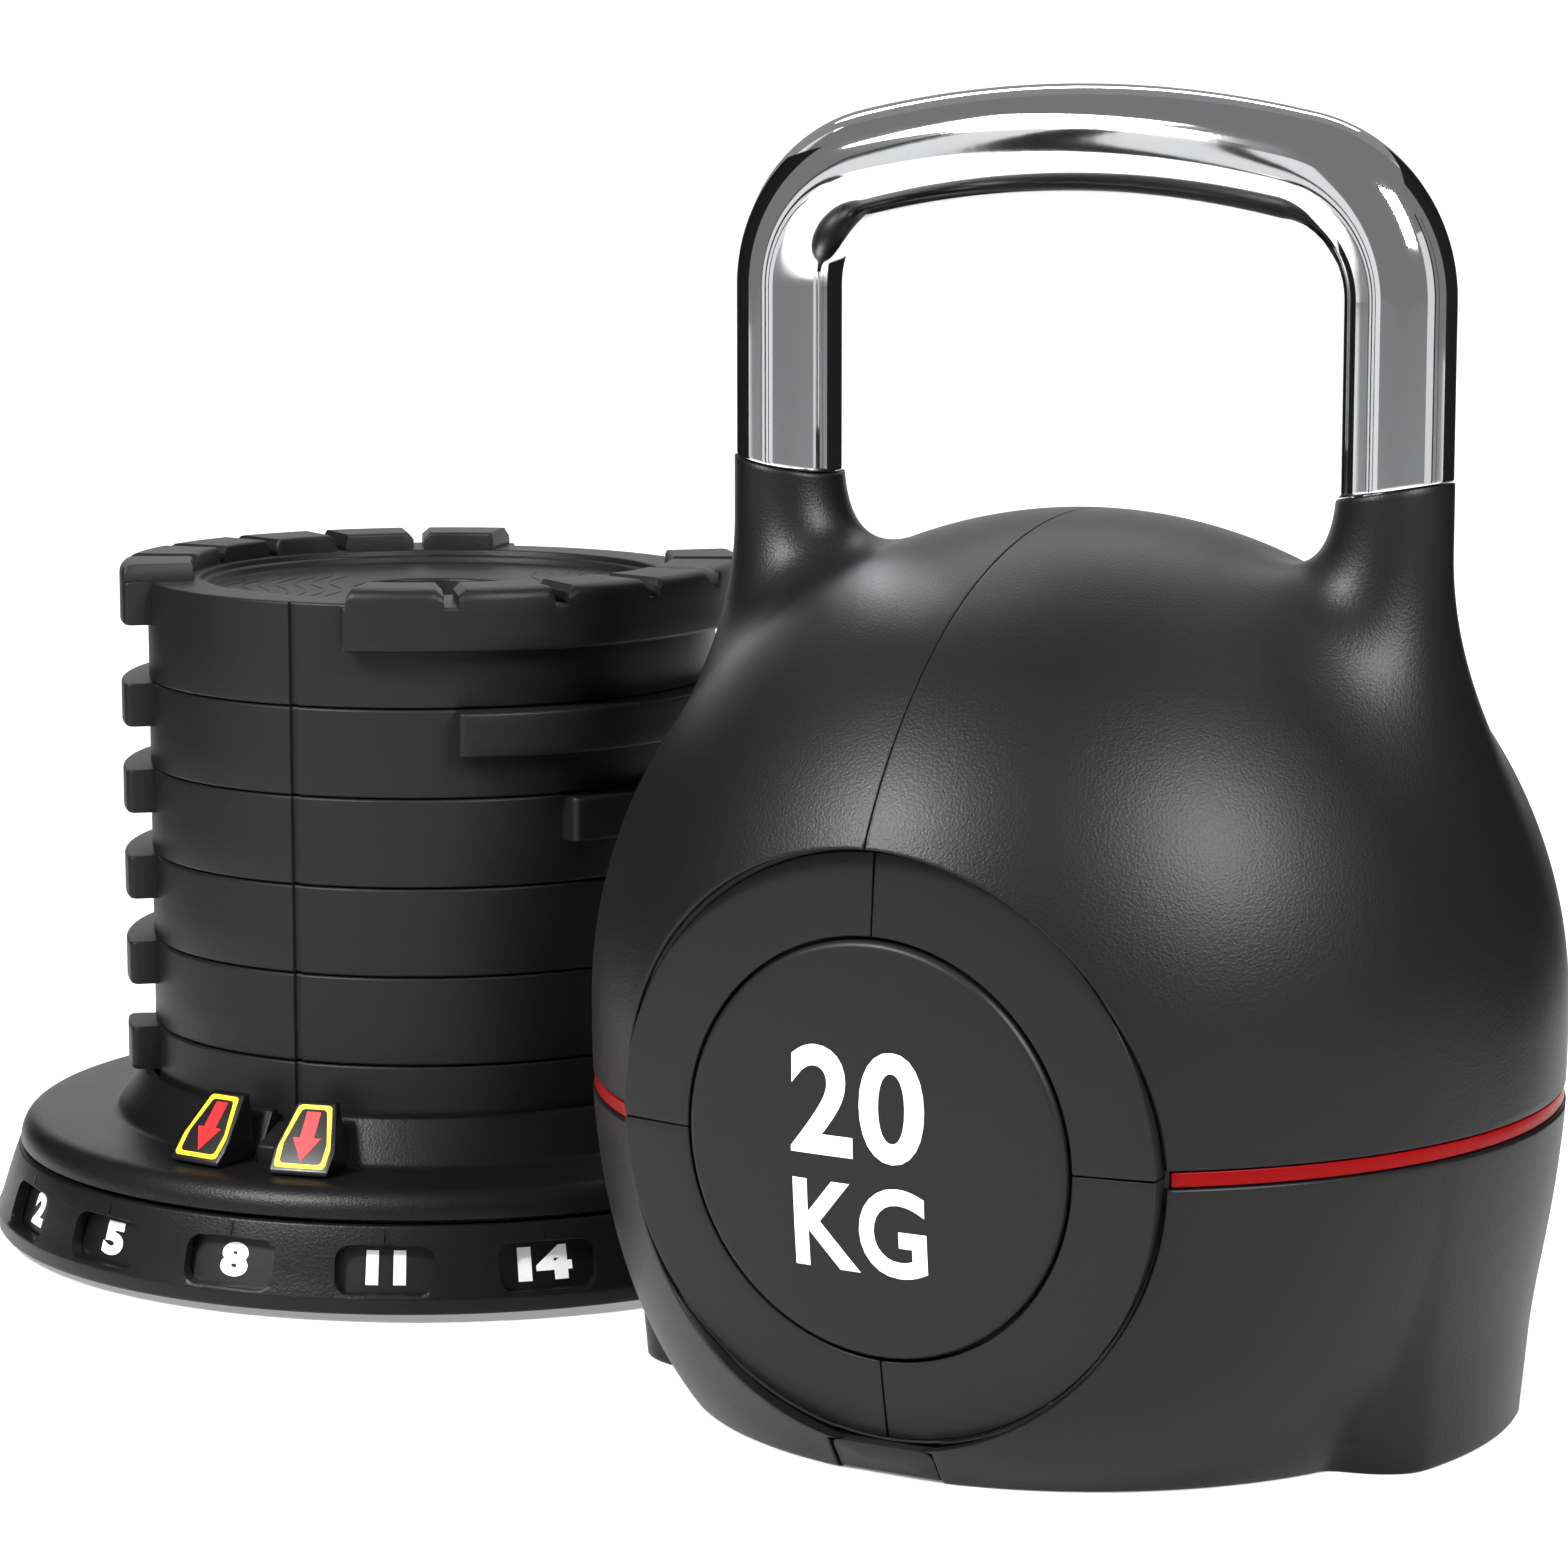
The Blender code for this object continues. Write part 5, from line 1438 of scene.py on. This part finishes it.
def flat_polygon(rings):
    """A flat mesh of one polygon, or of a band between two like rings."""
    work = bmesh.new()
    loops = [[work.verts.new((float(x), float(y), 0)) for x, y in ring] for ring in rings]
    if len(loops) == 1:
        work.faces.new(loops[0])
    else:
        count = len(loops[0])
        for k in range(count):
            following = (k + 1) % count
            work.faces.new([loops[0][k], loops[0][following], loops[1][following], loops[1][k]])
    mesh = bpy.data.meshes.new("flat")
    work.to_mesh(mesh)
    work.free()
    return mesh


def make_marks():
    """The two arrow blocks with their labels, and the lock key between them."""
    dial = bpy.context.scene.kettlebell_dial
    table = bpy.context.scene.kettlebell_table
    foot, rim = (corner[2] for corner in box_of("arrow_block_left"))
    top = rim + table.block_rise
    back, front = table.block_back, table.block_front
    upper_back, upper_front = back - 1.5 * MM, back + 1.5 * MM
    toe = foot + table.block_toe
    half_foot, half_top, kink = table.block_foot, table.block_top, table.block_kink
    mid_depth = front + (upper_front - front) * kink
    mid_z = toe + (top - toe) * kink
    stations = [(back, foot, half_foot), (front, foot, half_foot), (front, toe, half_foot),
                (mid_depth, mid_z, half_foot), (upper_front, top, half_top), (upper_back, top, half_top)]
    slope = Vector((upper_front - front, top - toe))
    run = slope.length
    for name, side in (("left", -1), ("right", 1)):
        turn = dial.mark + side * dial.spread
        rings = [place_cut(turn, np.array([s * half for _, _, half in stations]),
                           np.array([depth for depth, _, _ in stations]),
                           np.array([z for _, z, _ in stations])) for s in (-1, 1)]
        block = np.stack(rings)
        mesh = softened(mesh_from("arrow_block_%s_fine" % name, [(block, tube_faces(block))]), 0.5 * MM)
        add_piece(mesh.name, mesh, finish_of("number_field"), "turntable",
                  ("arrow_block_" + name,))

        def place(across, up, out):
            share = (up + run / 2) / run
            depth = front + slope.x * share + out * (top - toe) / run
            z = toe + slope.y * share + out * (front - upper_front) / run
            return place_cut(turn, across, depth, z)

        def outline(inset):
            wide, narrow, rise = half_foot - inset, half_top - inset * 0.9, run / 2 - inset
            corners = [(-wide * 0.97, -rise), (wide * 0.97, -rise), (wide, -rise + run * kink),
                       (narrow, rise), (-narrow, rise), (-wide, -rise + run * kink)]
            return rounded_outline(corners, (1.4 * MM, 1.4 * MM, 3 * MM, 1.4 * MM, 1.4 * MM, 3 * MM), 5)

        frame_ring = flat_polygon([outline(0.9 * MM), outline(2.3 * MM)])
        size = np.ptp(outline(0.9 * MM), axis=0)
        mesh = fitted(frame_ring, size, place, 0.12 * MM, 50 * MM)
        mesh.name = "label_outline_" + name
        add_piece(mesh.name, mesh, finish_of("yellow_print"), "turntable")
        head, shaft, tip = 4.3 * MM, 2.1 * MM, run * 0.36
        waist = -run * 0.02
        arrow = flat_polygon([[(-shaft, tip), (-shaft, waist), (-head, waist), (0, -tip),
                               (head, waist), (shaft, waist), (shaft, tip)]])
        mesh = fitted(arrow, (2 * head, 2 * tip), place, 0.12 * MM, 50 * MM)
        mesh.name = "label_arrow_" + name
        add_piece(mesh.name, mesh, finish_of("red_print"), "turntable")
    foot, top = (corner[2] for corner in box_of("lock_key"))
    heights = [foot] * 4 + [top, top, top - 5 * MM, top - 5 * MM]
    key = upright_box(dial.mark, 3.8 * MM, 86 * MM, 98 * MM, heights)
    key = softened(mesh_from("lock_key_fine", [key]), 0.8 * MM)
    add_piece(key.name, key, finish_of("satin_abs"), "lock_key", ("lock_key",))


# ---- underside and inside ----

def foot_mesh(name, place, radius, low, high):
    """A moulded rubber foot: domed edge, a shallow ring groove in its sole."""
    lip = 0.8 * MM
    outline = np.concatenate([[(0, low), (radius * 0.55, low), (radius * 0.6, low + 0.6 * MM),
                               (radius * 0.72, low + 0.6 * MM), (radius * 0.77, low)],
                              arc((radius - lip, low + lip), lip, -math.pi / 2, 0, 4),
                              [(radius - 0.3 * MM, high), (0, high)]])
    turn = 2 * math.pi * np.arange(48) / 48
    points = np.stack([place[0] + outline[:, :1] * np.sin(turn), place[1] - outline[:, :1] * np.cos(turn),
                       np.broadcast_to(outline[:, 1:], (len(outline), 48))], axis=-1)
    return mesh_from(name, [(points, grid_quads(len(outline), 48, False, True))])


def make_underside():
    """Rubber feet, and finishes for the inner pieces that keep their frame shape."""
    feet = [("centre_foot", 16 * MM)] + [("dock_foot_%d" % k, 9 * MM) for k in range(1, 5)]
    for node, radius in feet:
        low, high = box_of(node)
        mesh = foot_mesh(node + "_fine", (low + high) / 2, radius, low[2], high[2])
        add_piece(mesh.name, mesh, finish_of("rubber"), "dock", (node,))
    finishes = {"dock_tray": "textured_abs", "turntable_bearing": "acetal",
                "handle_bridge": "zinc_steel", "handle_bolt_left": "zinc_steel",
                "handle_bolt_right": "zinc_steel", "lifting_rack_left": "zinc_steel",
                "lifting_rack_right": "zinc_steel"}
    for node, finish in finishes.items():
        piece = bpy.data.objects[node]
        piece.data.materials.clear()
        piece.data.materials.append(finish_of(finish))


# ---- stage ----

def stage_material(name, hex_colour, roughness):
    """Opal acrylic of a light table: pale and barely uneven.  Its glow is full behind
    the object and fades out towards the camera."""
    studio = bpy.context.scene.kettlebell_studio
    material, tree, shader = new_material(name)
    place = add_node(tree, "ShaderNodeTexCoord").outputs["Object"]
    tone = add_node(tree, "ShaderNodeTexNoise", {"Scale": 3.0, "Detail": 2.0}, Vector=place)
    base = srgb(hex_colour)
    shade = mixed(tree, tone.outputs["Fac"], tuple(v * 0.99 for v in base), base)
    tree.links.new(shade, shader.inputs["Base Color"])
    shader.inputs["Roughness"].default_value = roughness
    shader.inputs["Emission Color"].default_value = (1.0, 1.0, 1.0, 1.0)
    parts = add_node(tree, "ShaderNodeSeparateXYZ", None, Vector=place)
    fade = add_node(tree, "ShaderNodeMapRange",
                    {"From Min": -0.5, "From Max": 0.3, "To Min": studio.front_glow,
                     "To Max": studio.glow, "interpolation_type": "SMOOTHSTEP"},
                    Value=parts.outputs["Y"])
    tree.links.new(fade.outputs["Result"], shader.inputs["Emission Strength"])
    return material


def make_floor():
    """A floor that curves up into a backdrop: flat, then a quarter circle, then
    upright, as one profile carried across."""
    bend = 0.7
    back = 1.6
    turn = np.linspace(0, math.pi / 2, 24)
    profile = np.concatenate([[(-6.0, 0.0), (-1.0, 0.0)],
                              np.stack([back + bend * np.sin(turn), bend - bend * np.cos(turn)],
                                       axis=-1), [(back + bend, 4.0)]])
    across = np.array([-5.0, 0.0, 5.0])
    points = np.stack([np.broadcast_to(across, (len(profile), 3)),
                       np.broadcast_to(profile[:, 0:1], (len(profile), 3)),
                       np.broadcast_to(profile[:, 1:2], (len(profile), 3))], axis=-1)
    mesh = bpy.data.meshes.new("studio_floor")
    mesh.from_pydata(points.reshape(-1, 3).tolist(), [], grid_quads(len(profile), 3).tolist())
    mesh.shade_smooth()
    floor = bpy.data.objects.new("studio_floor", mesh)
    bpy.context.scene.collection.objects.link(floor)
    mesh.materials.append(stage_material("opal_acrylic", "#DADADA", 0.9))


def add_light(name, place, target, size, power):
    """A rectangular softbox that looks at a point."""
    lamp = bpy.data.lights.new(name, "AREA")
    lamp.shape = "RECTANGLE"
    lamp.size, lamp.size_y = size
    lamp.energy = power
    light = bpy.data.objects.new(name, lamp)
    bpy.context.scene.collection.objects.link(light)
    light.location = place
    light.rotation_euler = (Vector(target) - Vector(place)).to_track_quat("-Z", "Y").to_euler()


def make_world(strength):
    """An even white surround, and a plain view transform so that white stays white."""
    world = bpy.data.worlds.new("studio")
    world.use_nodes = True
    world.node_tree.nodes["Background"].inputs["Color"].default_value = (1, 1, 1, 1)
    world.node_tree.nodes["Background"].inputs["Strength"].default_value = strength
    bpy.context.scene.world = world
    bpy.context.scene.view_settings.view_transform = "Standard"


def make_camera():
    """Camera in front, a little over the body's middle, looking slightly down."""
    studio = bpy.context.scene.kettlebell_studio
    lens = bpy.data.cameras.new("camera")
    lens.lens = studio.lens
    lens.sensor_width = 36
    camera = bpy.data.objects.new("camera", lens)
    bpy.context.scene.collection.objects.link(camera)
    camera.location = (KETTLEBELL_AXIS[0] - studio.aside, KETTLEBELL_AXIS[1] - studio.away,
                       studio.height)
    camera.rotation_euler = (math.pi / 2 - studio.pitch, 0, 0)
    bpy.context.scene.camera = camera


def add_card(name, middle, turn, size, brightness):
    """An upright card in the studio, out of the picture: dark, or glowing evenly.
    Its face looks along the angle from -Y towards +X."""
    across = np.array([-1, 1, 1, -1]) * size[0] / 2
    up = np.array([-1, -1, 1, 1]) * size[1] / 2
    points = np.stack([middle[0] + across * math.cos(turn), middle[1] + across * math.sin(turn),
                       middle[2] + up], axis=-1)
    mesh = bpy.data.meshes.new(name)
    mesh.from_pydata(points.tolist(), [], [(0, 1, 2, 3)])
    card = bpy.data.objects.new(name, mesh)
    bpy.context.scene.collection.objects.link(card)
    material, tree, shader = new_material(name + "_face")
    shader.inputs["Base Color"].default_value = (0.01, 0.01, 0.01, 1.0)
    shader.inputs["Specular IOR Level"].default_value = 0.0
    shader.inputs["Emission Color"].default_value = (1.0, 1.0, 1.0, 1.0)
    shader.inputs["Emission Strength"].default_value = brightness
    mesh.materials.append(material)
    card.visible_camera = False


def make_lights():
    """Softboxes for the broad soft highlights, and cards either side that the chrome
    mirrors: glowing ones in front, dark ones along the sides, thin ones as streaks."""
    x, y = KETTLEBELL_AXIS[:2]
    middle = (x, y, 0.15)
    add_light("key_right", (x + 0.58, y - 0.86, 1.0), middle, (0.4, 0.6), 32)
    add_light("fill_left", (x - 1.03, y - 0.42, 1.15), middle, (0.35, 0.5), 5)
    add_light("neck_left", (x - 0.9, y - 0.53, 0.92), (x - 0.08, y, 0.22), (0.2, 0.3), 28)
    add_light("top", (x, y + 0.85, 0.98), (x, y, 0.23), (0.9, 0.14), 3)
    add_light("backdrop_wash", (0.0, 1.2, 2.3), (0.0, 2.2, 0.3), (3.0, 0.6), 22)
    side = math.pi / 2
    add_card("flag_left", (x - 0.66, y + 0.55, 0.3), side, (0.9, 0.9), 0.0)
    add_card("flag_right", (x + 0.48, y + 0.45, 0.3), side, (0.9, 0.9), 0.0)
    add_card("flag_behind", (x, y + 0.95, 1.34), 0.0, (2.4, 1.7), 0.28)
    add_card("glow_left", (x - 0.95, y - 0.75, 0.4), -1.0, (0.5, 0.9), 0.9)
    add_card("glow_right", (x + 0.9, y - 0.55, 0.4), 1.1, (0.3, 0.9), 0.8)
    for k, (away, width) in enumerate(((-0.82, 0.03), (-0.9, 0.05), (-1.02, 0.02), (0.8, 0.04),
                                       (0.94, 0.02))):
        add_card("streak_%d" % (k + 1), (x + away * 0.9, y - 0.62 + 0.1 * k, 0.4),
                 math.copysign(1.0, away), (width, 0.9), 0.0)


# ---- operators, panel, run ----

class KETTLEBELL_OT_shells(bpy.types.Operator):
    """Build the four textured shells with their necks and side feet"""
    bl_idname = "kettlebell.shells"
    bl_label = "Shells"

    def execute(self, context):
        make_shells()
        return {"FINISHED"}


class KETTLEBELL_OT_discs(bpy.types.Operator):
    """Build the coloured bands, the crowned discs and the pointer tab"""
    bl_idname = "kettlebell.discs"
    bl_label = "Bands, discs and pointer"

    def execute(self, context):
        make_bands()
        make_faces()
        make_gap_shades()
        make_pointer()
        return {"FINISHED"}


class KETTLEBELL_OT_handle(bpy.types.Operator):
    """Build the chrome bar"""
    bl_idname = "kettlebell.handle"
    bl_label = "Handle"

    def execute(self, context):
        make_handle()
        return {"FINISHED"}


class KETTLEBELL_OT_badge_print(bpy.types.Operator):
    """Print the weight mark on the front badge"""
    bl_idname = "kettlebell.badge_print"
    bl_label = "Weight mark"

    def execute(self, context):
        make_badge_print()
        return {"FINISHED"}


class KETTLEBELL_OT_plates(bpy.types.Operator):
    """Build the six lugged plates and the wave mark in the top one"""
    bl_idname = "kettlebell.plates"
    bl_label = "Plates"

    def execute(self, context):
        make_plates()
        return {"FINISHED"}


class KETTLEBELL_OT_dial(bpy.types.Operator):
    """Build the dial ring with its windows, the number band and the numbers"""
    bl_idname = "kettlebell.dial"
    bl_label = "Dial"

    def execute(self, context):
        make_dial()
        return {"FINISHED"}


class KETTLEBELL_OT_turntable(bpy.types.Operator):
    """Build the turntable, the arrow blocks and the lock key"""
    bl_idname = "kettlebell.turntable"
    bl_label = "Turntable and marks"

    def execute(self, context):
        make_turntable()
        make_marks()
        return {"FINISHED"}


class KETTLEBELL_OT_underside(bpy.types.Operator):
    """Build the rubber feet and finish the inner pieces"""
    bl_idname = "kettlebell.underside"
    bl_label = "Feet and inner pieces"

    def execute(self, context):
        make_underside()
        return {"FINISHED"}


class KETTLEBELL_OT_studio(bpy.types.Operator):
    """Build the pale floor, the lights, the world and the camera"""
    bl_idname = "kettlebell.studio"
    bl_label = "Studio"

    def execute(self, context):
        make_floor()
        make_lights()
        make_world(context.scene.kettlebell_studio.surround)
        make_camera()
        return {"FINISHED"}


OPERATORS = (KETTLEBELL_OT_shells, KETTLEBELL_OT_discs, KETTLEBELL_OT_handle,
             KETTLEBELL_OT_badge_print, KETTLEBELL_OT_plates, KETTLEBELL_OT_dial,
             KETTLEBELL_OT_turntable, KETTLEBELL_OT_underside, KETTLEBELL_OT_studio)


class KETTLEBELL_PT_parts(bpy.types.Panel):
    """The makers of the pieces, in the order in which they run"""
    bl_label = "Kettlebell"
    bl_idname = "KETTLEBELL_PT_parts"
    bl_space_type = "VIEW_3D"
    bl_region_type = "UI"
    bl_category = "Kettlebell"

    def draw(self, context):
        for maker in OPERATORS:
            self.layout.operator(maker.bl_idname)


CLASSES = (*SETTINGS.values(), *OPERATORS, KETTLEBELL_PT_parts)


def register():
    for item in CLASSES:
        bpy.utils.register_class(item)
    for name, group in SETTINGS.items():
        setattr(bpy.types.Scene, name, PointerProperty(type=group))


def unregister():
    for name in SETTINGS:
        delattr(bpy.types.Scene, name)
    for item in reversed(CLASSES):
        bpy.utils.unregister_class(item)


def main():
    register()
    for maker in OPERATORS:
        group, name = maker.bl_idname.split(".")
        getattr(getattr(bpy.ops, group), name)()


if __name__ == "__main__":
    main()
